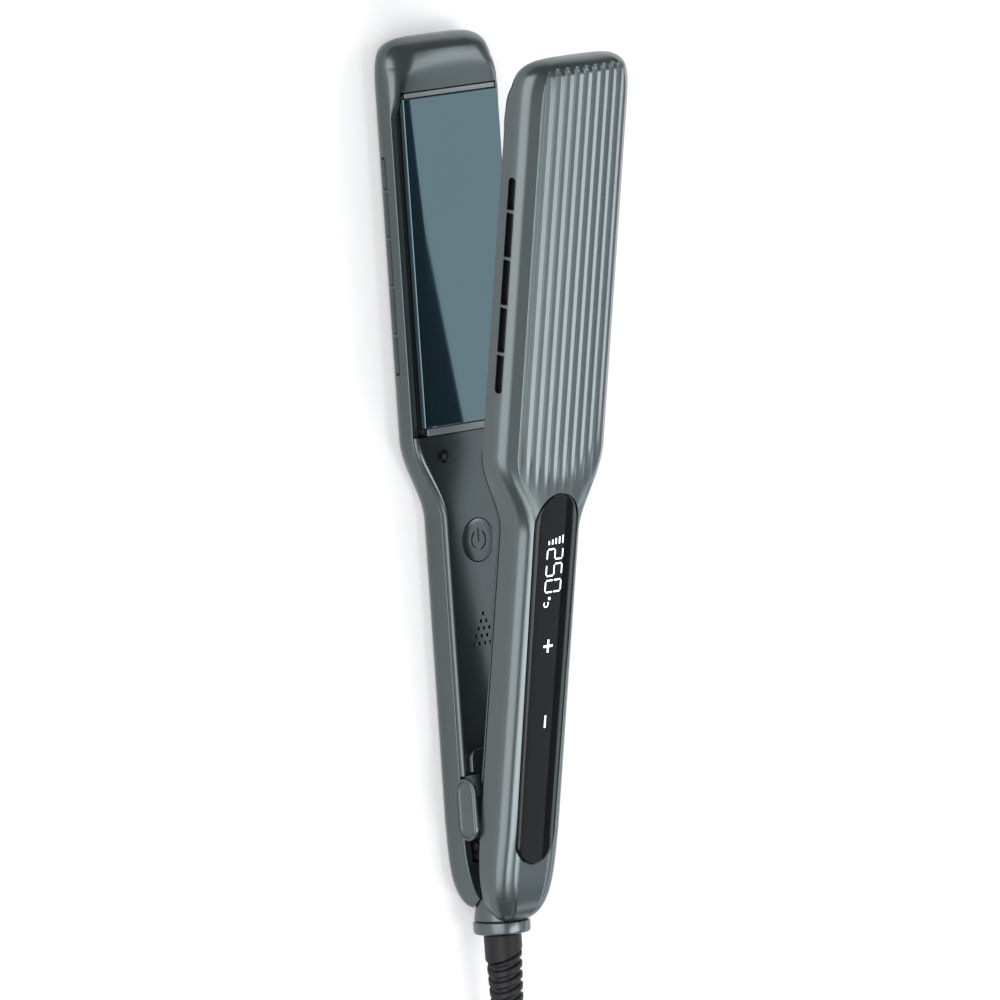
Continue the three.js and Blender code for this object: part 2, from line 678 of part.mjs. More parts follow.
function hank() {
  const half = HANK.outer + CORD.radius;
  const shape = stadium(HANK.x - half, HANK.x + HANK.run + half, half);
  const depth = HANK_TOP - HANK.bottom;
  const body = new THREE.ExtrudeGeometry(shape, { depth, bevelEnabled: false, curveSegments: 10 });
  return body.translate(0, 0, HANK.bottom);
}

function hankTie() {
  const half = HANK.outer + CORD.radius + TIE.clearance;
  const top = HANK_TOP + 2 * CORD.radius + 3 * TIE.clearance;
  const low = HANK.bottom - TIE.clearance;
  const t = TIE.thickness;
  const outer = worldBox([TIE.x, -half - t, low - t], [TIE.x + TIE.width, half + t, top + t]);
  return cut(outer, [worldBox([TIE.x - 1, -half, low], [TIE.x + TIE.width + 1, half, top])]);
}

// The last run of the cord lies along the top of the hank, from its near fold to the plug.
function cordTail() {
  const z = HANK_TOP + GAP + CORD.radius;
  const [from, to] = [HANK.x - 6, PLUG.x - PLUG.nose - GAP];
  const route = [[from, -12.8, z], [from + 18, -12.6, z], [from + 38, -10.4, z], [to, PLUG.y, z]];
  return tube(route, CORD.radius, CORD.sides, 5);
}

function plugBody() {
  const { x, y, length, halfWidth: half, halfHeight, nose } = PLUG;
  const corner = 4;
  const shape = new THREE.Shape();
  shape.moveTo(x - nose, 4);
  shape.lineTo(x - nose, -4);
  shape.bezierCurveTo(x, -5, x, -half, x + 8, -half);
  shape.lineTo(x + length - corner, -half);
  shape.absarc(x + length - corner, -half + corner, corner, -Math.PI / 2, 0, false);
  shape.absarc(x + length - corner, half - corner, corner, 0, Math.PI / 2, false);
  shape.lineTo(x + 8, half);
  shape.bezierCurveTo(x, half, x, 5, x - nose, 4);
  const bevel = 2;
  const body = new THREE.ExtrudeGeometry(shape, {
    depth: 2 * (halfHeight - bevel), bevelThickness: bevel, bevelSize: 1, bevelOffset: -1,
    bevelSegments: 2, curveSegments: 5,
  });
  return body.translate(0, y, PLUG_Z - halfHeight + bevel);
}

function plugPin(side) {
  const { radius: r, length, spacing } = PLUG_PINS;
  const from = PLUG.x + PLUG.length + GAP;
  const to = from + length;
  const round = turnedX([[from, 0], [from, r], [to - 1, r], [to, r - 1], [to, 0]], 12);
  return round.translate(0, PLUG.y + (side * spacing) / 2, PLUG_Z);
}

// ---- assembly -----------------------------------------------------------------------------

const flatIron = new THREE.Group();

const lowerArm = new THREE.Group();
lowerArm.position.set(PIVOT_X, 0, RIM_HEIGHT);
lowerArm.rotation.x = Math.PI;

const upperArm = new THREE.Group();
const upperFrame = new THREE.Group();
upperArm.position.set(PIVOT_X, 0, PIVOT_Z);
upperFrame.position.z = CLOSED_RIM_GAP + PIVOT_DEPTH;
upperArm.add(upperFrame);
flatIron.add(lowerArm, upperArm);

function upperMatrixAt(angle) {
  upperArm.rotation.y = angle;
  flatIron.updateMatrixWorld(true);
  return upperFrame.matrixWorld.clone();
}

const closedUpper = upperMatrixAt(0);
const openUpper = upperMatrixAt(OPEN_ANGLE);

// Turns a geometry the right way out if its triangles face inwards.
function facingOut(geometry) {
  const piece = geometry.index ? geometry.toNonIndexed() : geometry;
  const p = piece.attributes.position;
  const [a, b, c] = [new THREE.Vector3(), new THREE.Vector3(), new THREE.Vector3()];
  let volume = 0;
  for (let i = 0; i < p.count; i += 3) {
    a.fromBufferAttribute(p, i);
    b.fromBufferAttribute(p, i + 1);
    c.fromBufferAttribute(p, i + 2);
    volume += a.dot(b.clone().cross(c));
  }
  if (volume < 0) {
    for (let i = 0; i < p.count; i += 3) {
      b.fromBufferAttribute(p, i + 1);
      c.fromBufferAttribute(p, i + 2);
      p.setXYZ(i + 1, c.x, c.y, c.z);
      p.setXYZ(i + 2, b.x, b.y, b.z);
    }
  }
  return piece;
}

function add(parent, name, slot, geometry) {
  const mesh = new THREE.Mesh(facingOut(geometry), material(slot));
  mesh.name = name;
  parent.add(mesh);
}

function addArm(parent, side, shell, cover) {
  add(parent, `${side}_shell`, 'housing', shell);
  add(parent, `${side}_inner_cover`, 'cover', cover);
  add(parent, `${side}_plate_frame`, 'dark_plastic', plateFrame());
  frameScrewPlaces().forEach(([s, w], i) => {
    add(parent, `${side}_frame_screw_${i + 1}`, 'steel', frameScrew(s, w));
  });
  add(parent, `${side}_plate`, 'plate', heatingPlate());
  add(parent, `${side}_heater`, 'ceramic', heaterBar());
  add(parent, `${side}_heater_clamp`, 'steel', heaterClamp());
  CUSHION.places.forEach((s, i) => {
    add(parent, `${side}_plate_cushion_${i + 1}`, 'silicone', plateCushion(s));
  });
  add(parent, `${side}_thermal_fuse`, 'steel', thermalFuse());
}

const lowerShell = armShell(TAIL.lowerEnd, [blockClearance(lowerArm.matrixWorld)]);
addArm(lowerArm, 'lower', lowerShell, lowerCover());
add(lowerArm, 'stop_bumper_far', 'rubber', stopBumper(-1));
add(lowerArm, 'stop_bumper_near', 'rubber', stopBumper(1));
add(lowerArm, 'power_button', 'cover', powerButton());
add(lowerArm, 'power_switch', 'dark_plastic', armBox(...POWER_SWITCH));
add(lowerArm, 'main_board', 'board', armBox(...MAIN_BOARD));
add(lowerArm, 'buzzer', 'dark_plastic', post(BUZZER.s, 0, BUZZER.radius, BUZZER.low, BUZZER.high, 20));
add(lowerArm, 'hinge_boss', 'cover', hingeBoss());

const upperTools = [lensPocket(), blockClearance(openUpper), blockClearance(closedUpper)];
upperTools.push(armBox(...MODULE_WINDOW));
addArm(upperFrame, 'upper', armShell(TAIL.upperEnd, upperTools), innerCover([]));
add(upperFrame, 'display_lens', 'lens', displayLens());
add(upperFrame, 'display_board', 'board', armBox(...DISPLAY_BOARD));
add(upperFrame, 'display_module', 'display_light', armBox(...DISPLAY_MODULE));
add(upperFrame, 'hinge_bracket', 'housing', hingeBracket());

add(flatIron, 'hinge_pin', 'steel', hingePin());
add(flatIron, 'hinge_bush_near', 'dark_plastic', hingeBush(-1));
add(flatIron, 'hinge_bush_far', 'dark_plastic', hingeBush(1));
add(flatIron, 'hinge_spring', 'steel', hingeSpring());
add(flatIron, 'tail_block', 'housing', tailBlock());
add(flatIron, 'swivel_ring', 'housing', swivelRing());
add(flatIron, 'swivel_disc', 'brass', swivelDisc());
add(flatIron, 'strain_relief', 'rubber', strainRelief());
add(flatIron, 'lock_slider', 'housing', lockSlider());

add(flatIron, 'cord_tube', 'cord', tube(CORD_ROUTE, CORD.radius, CORD.sides, 14));
add(flatIron, 'cord_hank', 'cord', hank());
add(flatIron, 'cord_tie', 'rubber', hankTie());
add(flatIron, 'cord_tail', 'cord', cordTail());
add(flatIron, 'plug_body', 'rubber', plugBody());
add(flatIron, 'plug_pin_near', 'brass', plugPin(-1));
add(flatIron, 'plug_pin_far', 'brass', plugPin(1));

export default flatIron;
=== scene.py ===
"""The looks of a flat iron: fine shells, covers, plates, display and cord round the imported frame.

Metres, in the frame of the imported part: the lower arm lies on z = 0, tips towards -X, cord +X.
Arm surfaces are written in arm coordinates in millimetres: s from the pivot towards the tip,
w across (+Y), and n outwards from the arm's rim plane. place() turns them into the frame.
"""

import json
import math

import bmesh
import bpy
import numpy as np
from mathutils import Matrix, Vector


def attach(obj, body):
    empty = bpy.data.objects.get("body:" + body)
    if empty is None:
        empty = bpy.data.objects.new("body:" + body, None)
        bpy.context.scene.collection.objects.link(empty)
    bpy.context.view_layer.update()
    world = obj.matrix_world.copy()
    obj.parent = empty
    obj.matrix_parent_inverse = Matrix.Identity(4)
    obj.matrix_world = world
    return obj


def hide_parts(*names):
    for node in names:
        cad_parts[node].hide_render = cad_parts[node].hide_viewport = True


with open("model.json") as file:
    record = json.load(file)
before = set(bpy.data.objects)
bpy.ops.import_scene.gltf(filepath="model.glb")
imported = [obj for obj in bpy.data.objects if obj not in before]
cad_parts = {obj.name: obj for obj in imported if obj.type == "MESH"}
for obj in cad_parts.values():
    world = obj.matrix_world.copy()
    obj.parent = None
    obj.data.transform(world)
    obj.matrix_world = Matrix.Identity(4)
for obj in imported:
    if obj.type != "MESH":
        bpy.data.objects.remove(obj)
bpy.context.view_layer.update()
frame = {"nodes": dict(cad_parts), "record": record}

MM = 0.001

# ---- dimensions shared with the CAD model, in millimetres ----

HINGE = next(j for j in frame["record"]["behaviour"]["joints"] if j["name"] == "arm_hinge")
PIVOT_X = HINGE["pos_m"][0] / MM
PIVOT_Z = HINGE["pos_m"][2] / MM
OPEN_ANGLE = math.radians(HINGE["range_deg"][1])
RIM_HEIGHT = 12.5
PIVOT_DEPTH = RIM_HEIGHT - PIVOT_Z
CLOSED_RIM_GAP = 6.6
PLATE_HALF = 25.4
HANDLE_HALF = 14.4
NECK = (109.5, 138.0)
TIP = {"start": 246.0, "end": 271.4, "rim": 2.4, "outer": 5.2}
TAIL = {"start": 8.0, "rim": 2.5, "outer": 3.5, "drop": 0.45}
TAIL_END = {"lower": -22.0, "upper": -24.0}
COVER_RAISE = 1.9
NOSE = {"start": 254.0, "raise": 3.25, "crest": 259.5, "reach": 13.0, "edge": 3.6}
AXIS_Z = RIM_HEIGHT + 0.6
RELIEF_END_X = PIVOT_X + 84.0
CORD_RADIUS = 3.2
CORD_LIFT = CORD_RADIUS + 0.2
HANK = {"x": RELIEF_END_X + 112, "run": 120.0, "outer": 25.6, "inner": 19.2, "bottom": 1.4}


# ---- camera, first ----

def make_camera():
    """A long lens from above and to the near side, the tips at the top of the picture."""
    to_camera = Vector((-0.0946, -0.6978, 0.7100)).normalized()
    up_hint = Vector((-0.9932, 0.1148, -0.0195))
    right = up_hint.cross(to_camera).normalized()
    up = to_camera.cross(right).normalized()
    pivot = Vector((PIVOT_X, 0, PIVOT_Z)) * MM
    target = pivot + right * 0.0021 + up * 0.1143
    distance, field = 6.0, 0.3339
    data = bpy.data.cameras.new("camera")
    data.sensor_width = 36
    data.lens = data.sensor_width * distance / field
    data.clip_start, data.clip_end = 0.5, 60
    camera = bpy.data.objects.new("camera", data)
    axes = Matrix((right, up, to_camera)).transposed().to_4x4()
    camera.matrix_world = Matrix.Translation(target + to_camera * distance) @ axes
    bpy.context.scene.collection.objects.link(camera)
    bpy.context.scene.camera = camera


make_camera()


# ---- mesh helpers ----

def new_object(name, verts, faces, smooth_angle=40):
    """A mesh object with merged corners and outward faces, linked to the scene."""
    mesh = bpy.data.meshes.new(name)
    mesh.from_pydata([tuple(v) for v in verts], [], faces)
    mesh.validate()
    bm = bmesh.new()
    bm.from_mesh(mesh)
    bmesh.ops.remove_doubles(bm, verts=bm.verts, dist=1e-7)
    bmesh.ops.recalc_face_normals(bm, faces=bm.faces)
    if bm.calc_volume(signed=True) < 0:
        bmesh.ops.reverse_faces(bm, faces=bm.faces)
    bm.to_mesh(mesh)
    bm.free()
    obj = bpy.data.objects.new(name, mesh)
    bpy.context.scene.collection.objects.link(obj)
    smooth(obj, smooth_angle)
    return obj


def smooth(obj, angle=40):
    """Smooth shading, except across edges sharper than the angle in degrees."""
    mesh = obj.data
    mesh.polygons.foreach_set("use_smooth", [True] * len(mesh.polygons))
    mesh.set_sharp_from_angle(angle=math.radians(angle))


def loft(name, rings, smooth_angle=40, hoop=False):
    """Skins closed rings of equal length; rings is (rows, columns, 3), already in metres.
    A hoop's last ring joins its first, and otherwise the two ends are capped."""
    rings = np.asarray(rings)
    rows, cols = rings.shape[:2]
    verts = [tuple(p) for p in rings.reshape(-1, 3)]
    faces = []
    for r in range(rows if hoop else rows - 1):
        q = (r + 1) % rows
        for c in range(cols):
            d = (c + 1) % cols
            faces.append((r * cols + c, r * cols + d, q * cols + d, q * cols + c))
    if not hoop:
        faces.append(tuple(range(cols - 1, -1, -1)))
        faces.append(tuple(range((rows - 1) * cols, rows * cols)))
    return new_object(name, verts, faces, smooth_angle)


def place(arm, s, w, n):
    """Arm coordinates in millimetres to the frame in metres. All three may be arrays."""
    s, w, n = np.broadcast_arrays(np.asarray(s, float), np.asarray(w, float), np.asarray(n, float))
    if arm == "lower":
        x, z = PIVOT_X - s, RIM_HEIGHT - n
    else:
        height = CLOSED_RIM_GAP + PIVOT_DEPTH + n
        cos, sin = math.cos(OPEN_ANGLE), math.sin(OPEN_ANGLE)
        x = PIVOT_X - s * cos + height * sin
        z = PIVOT_Z + s * sin + height * cos
    return np.stack([x, w, z], axis=-1) * MM


def boolean(obj, tool, operation="DIFFERENCE"):
    """Cuts or joins a tool into an object, then deletes the tool."""
    modifier = obj.modifiers.new("cut", "BOOLEAN")
    modifier.operation = operation
    modifier.object = tool
    modifier.solver = "MANIFOLD"
    apply_modifiers(obj)
    bpy.data.objects.remove(tool, do_unlink=True)


def apply_modifiers(obj):
    """Replaces an object's mesh by the result of its modifiers."""
    depsgraph = bpy.context.evaluated_depsgraph_get()
    mesh = bpy.data.meshes.new_from_object(obj.evaluated_get(depsgraph))
    old = obj.data
    obj.modifiers.clear()
    obj.data = mesh
    bpy.data.meshes.remove(old)


def bevelled(obj, width, segments=3, angle=30):
    """Rounds the edges that are sharper than the angle; the width is in millimetres."""
    modifier = obj.modifiers.new("bevel", "BEVEL")
    modifier.width = width * MM
    modifier.segments = segments
    modifier.limit_method = "ANGLE"
    modifier.angle_limit = math.radians(angle)
    modifier.harden_normals = False
    apply_modifiers(obj)
    smooth(obj, 40)
    return obj


def plan_prism(name, arm, outline, low, high, smooth_angle=40):
    """Extrudes an outline of (s, w) points between two n values of an arm."""
    outline = np.asarray(outline, float)
    rings = [place(arm, outline[:, 0], outline[:, 1], n) for n in (low, high)]
    return loft(name, rings, smooth_angle)


def rounded_rectangle(s0, s1, w0, w1, radius, segments=8):
    """The outline of a rectangle with round corners, anticlockwise."""
    points = []
    corners = [(s1 - radius, w1 - radius, 0), (s0 + radius, w1 - radius, 90),
               (s0 + radius, w0 + radius, 180), (s1 - radius, w0 + radius, 270)]
    for cs, cw, start in corners:
        for i in range(segments + 1):
            a = math.radians(start + 90 * i / segments)
            points.append((cs + radius * math.cos(a), cw + radius * math.sin(a)))
    return points


def circle(s, w, radius, segments=48):
    """The outline of a circle in the (s, w) plane."""
    angles = [2 * math.pi * i / segments for i in range(segments)]
    return [(s + radius * math.cos(a), w + radius * math.sin(a)) for a in angles]


def smoothstep(value, low, high):
    """Eases from 0 at low to 1 at high."""
    t = np.clip((np.asarray(value, float) - low) / (high - low), 0, 1)
    return t * t * (3 - 2 * t)


def finish_piece(obj, body, material, replaces=()):
    """Gives a piece its material and body, and hides the CAD nodes it stands for."""
    obj.data.materials.clear()
    obj.data.materials.append(material)
    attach(obj, body)
    if replaces:
        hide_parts(*replaces)
    return obj


# ---- the arms' surfaces ----

FLUTE = {"pitch": 4.1, "ridges": 10, "depth": 0.42, "bottom": 0.36, "end_inset": 1.9}
WALL = {"side": 2.6, "back": 2.2}
EDGE_ZONE = 5.2
EDGE_MIDDLE = 5.0
FACET = {"tilt": math.radians(34), "length": 3.3}
CAVITY_START = -5.5
CAVITY_END = 253.5


def superellipse(t, power):
    """A quarter superellipse, from 1 at t = 0 towards 0 at t = 1."""
    t = np.clip(t, 0, 0.997)
    return (1 - t ** power) ** (1 / power)


def half_width(s, arm, level="rim"):
    """Half-width of an arm at s, at its rim plane or at its outer corners."""
    full = HANDLE_HALF + (PLATE_HALF - HANDLE_HALF) * smoothstep(s, *NECK)
    tip = (s - TIP["start"]) / (TIP["end"] - TIP["start"])
    tail = (TAIL["start"] - s) / (TAIL["start"] - TAIL_END[arm])
    return full * superellipse(tip, TIP[level]) * superellipse(tail, TAIL[level])


def tail_depth(s, arm):
    """The share of an arm's depth that is left at s, towards its tail."""
    tail = np.clip((TAIL["start"] - s) / (TAIL["start"] - TAIL_END[arm]), 0, 1)
    return 1 - TAIL["drop"] * (0.25 * tail + 0.75 * tail ** 8)


def flute_cut(w, s):
    """Depth of the channels between the ridges on an arm's back. Each ends in a round scoop."""
    half_pitch = FLUTE["pitch"] / 2
    channel = np.round(np.abs(w) / FLUTE["pitch"])
    across = np.abs(w) - channel * FLUTE["pitch"]
    reach = np.clip(channel * FLUTE["pitch"] / PLATE_HALF, 0, 0.99)
    outline = (1 - reach ** TIP["outer"]) ** (1 / TIP["outer"])
    tip_end = TIP["start"] + (TIP["end"] - TIP["start"]) * outline - FLUTE["end_inset"]
    past = np.clip(s - tip_end + half_pitch, 0, None)
    share = np.clip(np.sqrt(across ** 2 + past ** 2) / half_pitch, 0, 1)
    profile = 1 - np.clip((share - FLUTE["bottom"]) / (0.97 - FLUTE["bottom"]), 0, 1)
    profile = np.where(channel < FLUTE["ridges"] / 2, profile, 0)
    hinge_end = 124.0 + 7.5 * (np.abs(w) / 17) ** 2.2
    return FLUTE["depth"] * profile * smoothstep(s, hinge_end - 4, hinge_end + 14)


def section(s, arm):
    """The closed outline across an arm at s: its face, rim edges, sides and fluted back."""
    rim, outer = half_width(s, arm), half_width(s, arm, "outer")
    blend = float(smoothstep(s, *NECK))
    radius = min(6 + blend, 0.5 * outer)
    corner = 11.9 + (11.2 - 11.9) * blend
    flat = 6 * (1 - blend) * outer / HANDLE_HALF
    tilt = FACET["tilt"] * blend
    facet = FACET["length"] * max(0.03, blend * min(1, outer / PLATE_HALF))
    crest_w = outer - radius * (1 - math.sin(tilt)) - facet * math.cos(tilt)
    foot = corner - facet * math.sin(tilt) - radius * math.cos(tilt)
    depth = float(tail_depth(s, arm))
    w_top = crest_w * np.linspace(0, 1, 125)
    across = np.clip((w_top - flat) / (crest_w - flat), 0, 1)
    n_top = RIM_HEIGHT + (corner - RIM_HEIGHT) * across ** 2
    angles = np.linspace(tilt, math.pi / 2, 14)
    w_arc = outer - radius * (1 - np.sin(angles))
    n_arc = foot + radius * np.cos(angles)
    along = facet * np.array([0.04, 0.35, 0.65, 0.96])
    w_arc = np.concatenate([crest_w + along * math.cos(tilt), w_arc])
    n_arc = np.concatenate([corner - along * math.sin(tilt), n_arc])
    u = np.linspace(0, 1, 13)
    turn = np.linspace(0, math.pi / 2, 13)[1:]
    lift = float(smoothstep(s, NOSE["start"] - 9, NOSE["start"]))
    crown = 1 - ((max(s, NOSE["start"]) - NOSE["crest"]) / NOSE["reach"]) ** 2
    rise = NOSE["raise"] * crown * lift
    round_n = min(NOSE["edge"] + 0.9 * (outer - rim), foot + rise)
    fillet_n = 0.45 + (round_n - 0.45) * lift if s > 0 else min(0.45, 0.45 * rim)
    fillet_w = min(outer - rim + fillet_n, 0.8 * outer) if lift else fillet_n
    reach = outer if lift else rim
    w_base, n_base = (reach - fillet_w) * u, -rise + 0.3 * lift * u ** 2.5
    w_edge = reach - fillet_w * (1 - np.sin(turn))
    n_edge = n_base[-1] + fillet_n * (1 - np.cos(turn))
    w_half = np.concatenate([w_base, w_edge, w_arc[::-1], w_top[::-1]])
    n_half = np.concatenate([n_base, n_edge, n_arc[::-1], n_top[::-1]])
    outer_side = np.arange(len(w_half)) >= len(w_base) + len(w_edge)
    n_half = np.where(outer_side, n_half * depth, n_half)
    roll = np.clip((s - TIP["end"] + EDGE_ZONE) / EDGE_ZONE, 0, 0.998)
    n_half = EDGE_MIDDLE + (n_half - EDGE_MIDDLE) * (1 - roll ** 2.2) ** (1 / 2.2)
    n_half = n_half - np.where(outer_side, flute_cut(w_half, s), 0)
    w = np.concatenate([w_half, -w_half[-2:0:-1]])
    n = np.concatenate([n_half, n_half[-2:0:-1]])
    return w, n


def arm_body(name, arm):
    """The solid outside of an arm, lofted from tail to tip."""
    tail = TAIL_END[arm]
    curve = 1 - np.cos(np.linspace(0, math.pi / 2, 22))
    stations = list(tail + (TAIL["start"] - tail) * curve)
    stations += list(np.linspace(8, 109, 8)[1:]) + list(np.linspace(109.5, 140, 40))
    stations += [150, 175, 200, 225, *np.linspace(244, NOSE["start"], 12)]
    stations += list(np.linspace(NOSE["start"], TIP["end"] - EDGE_ZONE, 30)[1:])
    end = np.sin(np.linspace(0, math.pi / 2, 40))[1:]
    stations += list(TIP["end"] - EDGE_ZONE + EDGE_ZONE * end)
    rings = []
    for s in stations:
        w, n = section(s, arm)
        rings.append(place(arm, s, w, n))
    return loft(name, rings, 28)


def cavity(arm):
    """The cutter for an arm's hollow, open at the rim."""
    rings = []
    for s in [CAVITY_START, 8, *np.linspace(109, 139, 16), CAVITY_END]:
        inside = float(half_width(s, arm)) - WALL["side"]
        depth = float(tail_depth(s, arm))
        ceiling = RIM_HEIGHT - WALL["back"]
        half = np.array([[inside, -6], [inside, 0.4 * ceiling * depth],
                         [inside * 0.85, 0.74 * ceiling * depth],
                         [inside * 0.5, 0.94 * ceiling * depth], [0, ceiling * depth]])
        w = np.concatenate([half[:, 0], -half[-2::-1, 0]])
        n = np.concatenate([half[:, 1], half[-2::-1, 1]])
        rings.append(place(arm, s, w, n))
    return loft("cavity_tool", rings)


VENT_EDGES = [158.8, 172.8, 188.9, 205.1, 221.0, 233.0]
VENT = {"bridge": 1.1, "height": 3.0, "n": 5.6, "chamfer": 0.6, "slant": 0.75}


def stadium(length, height, segments=10):
    """Outline round a slot centred on zero, as (along, up) pairs."""
    r = height / 2
    points = []
    for centre, start in ((length / 2 - r, -90), (-length / 2 + r, 90)):
        for i in range(segments + 1):
            a = math.radians(start + 180 * i / segments)
            points.append((centre + r * math.cos(a), r * math.sin(a)))
    return np.array(points)


def slot_outline(length, height, radii, segments=6):
    """A slot centred on zero whose corner radii differ at its tail and tip ends."""
    points = []
    for side, radius in ((1, radii[1]), (-1, radii[0])):
        for corner in (-1, 1):
            up = corner * side
            for i in range(segments + 1):
                a = math.radians(90 * i / segments)
                turn = (math.sin(a), math.cos(a))
                along, rise = turn if corner < 0 else turn[::-1]
                points.append((side * (length / 2 - radius + radius * along),
                               up * (height / 2 - radius + radius * rise)))
    return np.array(points)


def side_tool(name, arm, outline, s, side):
    """Lofts a slot through a side wall, slanting towards the rim as it goes in."""
    rings = []
    for depth, grow in ((5.0, 0), (0.3, 0), (-0.55, VENT["chamfer"])):
        scale = 1 + 2 * grow / (outline.max(axis=0) - outline.min(axis=0))
        grown = outline * scale
        n = VENT["n"] + grown[:, 1] - VENT["slant"] * depth
        rings.append(place(arm, s + grown[:, 0], side * (PLATE_HALF - depth), n))
    return loft(name, rings)


def cut_vents(shell, arm):
    """Cuts the row of vents through both side walls."""
    for a, b in zip(VENT_EDGES, VENT_EDGES[1:]):
        length = b - a - VENT["bridge"]
        radii = (1.45 if a == VENT_EDGES[0] else 0.3, 1.45 if b == VENT_EDGES[-1] else 0.3)
        outline = slot_outline(length, VENT["height"], radii)
        for side in (-1, 1):
            boolean(shell, side_tool("vent_tool", arm, outline, (a + b) / 2, side))


def turned(name, profile, origin, axis="X", segments=64, smooth_angle=35):
    """A solid turned about an axis through origin, from (along, radius) pairs in millimetres."""
    rings = []
    angles = np.linspace(0, 2 * math.pi, segments, endpoint=False)
    for along, radius in profile:
        a, b = radius * np.cos(angles), radius * np.sin(angles)
        ring = {"X": (along + 0 * a, a, b), "Y": (a, along + 0 * a, b), "Z": (a, b, along + 0 * a)}[axis]
        rings.append((np.stack(ring, axis=-1) + np.asarray(origin)) * MM)
    return loft(name, rings, smooth_angle)


BLOCK_PROFILE = [(-6.5, 7.2), (-14.0, 8.0), (-20.0, 8.2), (-25.8, 9.3)]


def block_clearance(arm, angle):
    """The cutter that clears the tail block, with the upper arm shut by the angle."""
    profile = [(-s, r + 0.6) for s, r in BLOCK_PROFILE]
    profile = [(profile[0][0] - 1.5, profile[0][1])] + profile + [(28.0, 9.9)]
    tool = turned("block_tool", profile, (PIVOT_X, 0, AXIS_Z))
    if arm == "upper" and angle:
        pivot = Matrix.Translation(Vector((PIVOT_X, 0, PIVOT_Z)) * MM)
        tool.data.transform(pivot @ Matrix.Rotation(angle, 4, "Y") @ pivot.inverted())
    return tool


LENS_ENDS = ((113.8, 10.0, -90), (5.8, 8.8, 90))


def lens_outline(grow=0.0):
    """The display lens's outline: a slot with a wider tip end."""
    points = []
    for centre, radius, start in LENS_ENDS:
        for i in range(33):
            a = math.radians(start + 180 * i / 32)
            points.append((centre + (radius + grow) * math.cos(a), (radius + grow) * math.sin(a)))
    return points


def make_shell(arm, material):
    """An arm shell: hollow, cleared round the block, with its pocket and vents."""
    shell = arm_body(f"{arm}_shell_fine", arm)
    boolean(shell, cavity(arm))
    boolean(shell, block_clearance(arm, 0))
    if arm == "upper":
        boolean(shell, block_clearance(arm, OPEN_ANGLE))
        boolean(shell, plan_prism("pocket_tool", arm, lens_outline(0.28), 11.1, 15))
        boolean(shell, plan_prism("window_tool", arm, rounded_rectangle(84, 112, -6, 6, 1), 6, 14))
    cut_vents(shell, arm)
    smooth(shell, 28)
    return finish_piece(shell, f"{arm}_arm", material, [f"{arm}_shell"])


# ---- materials ----

def make_material(name, color, roughness, metallic=0.0, coat=0.0, coat_roughness=0.1, specular=0.5,
                  variation=0.06, grain=400.0, bump=0.02, bump_distance=0.0002, roughness_spread=0.05):
    """A moulded or coated surface with slight colour, gloss and height variation."""
    material = bpy.data.materials.new(name)
    material.use_nodes = True
    nodes, links = material.node_tree.nodes, material.node_tree.links
    shader = nodes["Principled BSDF"]
    shader.inputs["Metallic"].default_value = metallic
    shader.inputs["Coat Weight"].default_value = coat
    shader.inputs["Coat Roughness"].default_value = coat_roughness
    shader.inputs["Specular IOR Level"].default_value = specular
    where = nodes.new("ShaderNodeTexCoord")
    broad = nodes.new("ShaderNodeTexNoise")
    broad.inputs["Scale"].default_value = 35
    broad.inputs["Detail"].default_value = 3
    fine = nodes.new("ShaderNodeTexNoise")
    fine.inputs["Scale"].default_value = grain
    fine.inputs["Detail"].default_value = 2
    links.new(where.outputs["Object"], broad.inputs["Vector"])
    links.new(where.outputs["Object"], fine.inputs["Vector"])
    tint = nodes.new("ShaderNodeMix")
    tint.data_type = "RGBA"
    tint.inputs["A"].default_value = (*[c * (1 - variation) for c in color], 1)
    tint.inputs["B"].default_value = (*[min(1, c * (1 + variation)) for c in color], 1)
    links.new(broad.outputs["Fac"], tint.inputs["Factor"])
    links.new(tint.outputs["Result"], shader.inputs["Base Color"])
    gloss = nodes.new("ShaderNodeMapRange")
    gloss.inputs["To Min"].default_value = max(0.02, roughness - roughness_spread)
    gloss.inputs["To Max"].default_value = roughness + roughness_spread
    links.new(fine.outputs["Fac"], gloss.inputs["Value"])
    links.new(gloss.outputs["Result"], shader.inputs["Roughness"])
    height = nodes.new("ShaderNodeBump")
    height.inputs["Strength"].default_value = bump
    height.inputs["Distance"].default_value = bump_distance
    links.new(fine.outputs["Fac"], height.inputs["Height"])
    links.new(height.outputs["Normal"], shader.inputs["Normal"])
    return material


def light_material(name, color, strength):
    """Lit display segments."""
    material = bpy.data.materials.new(name)
    material.use_nodes = True
    nodes, links = material.node_tree.nodes, material.node_tree.links
    shader = nodes["Principled BSDF"]
    where = nodes.new("ShaderNodeTexCoord")
    noise = nodes.new("ShaderNodeTexNoise")
    noise.inputs["Scale"].default_value = 90
    links.new(where.outputs["Object"], noise.inputs["Vector"])
    tint = nodes.new("ShaderNodeMix")
    tint.data_type = "RGBA"
    tint.inputs["A"].default_value = (*[c * 0.92 for c in color], 1)
    tint.inputs["B"].default_value = (*color, 1)
    links.new(noise.outputs["Fac"], tint.inputs["Factor"])
    links.new(tint.outputs["Result"], shader.inputs["Base Color"])
    links.new(tint.outputs["Result"], shader.inputs["Emission Color"])
    shader.inputs["Emission Strength"].default_value = strength
    return material


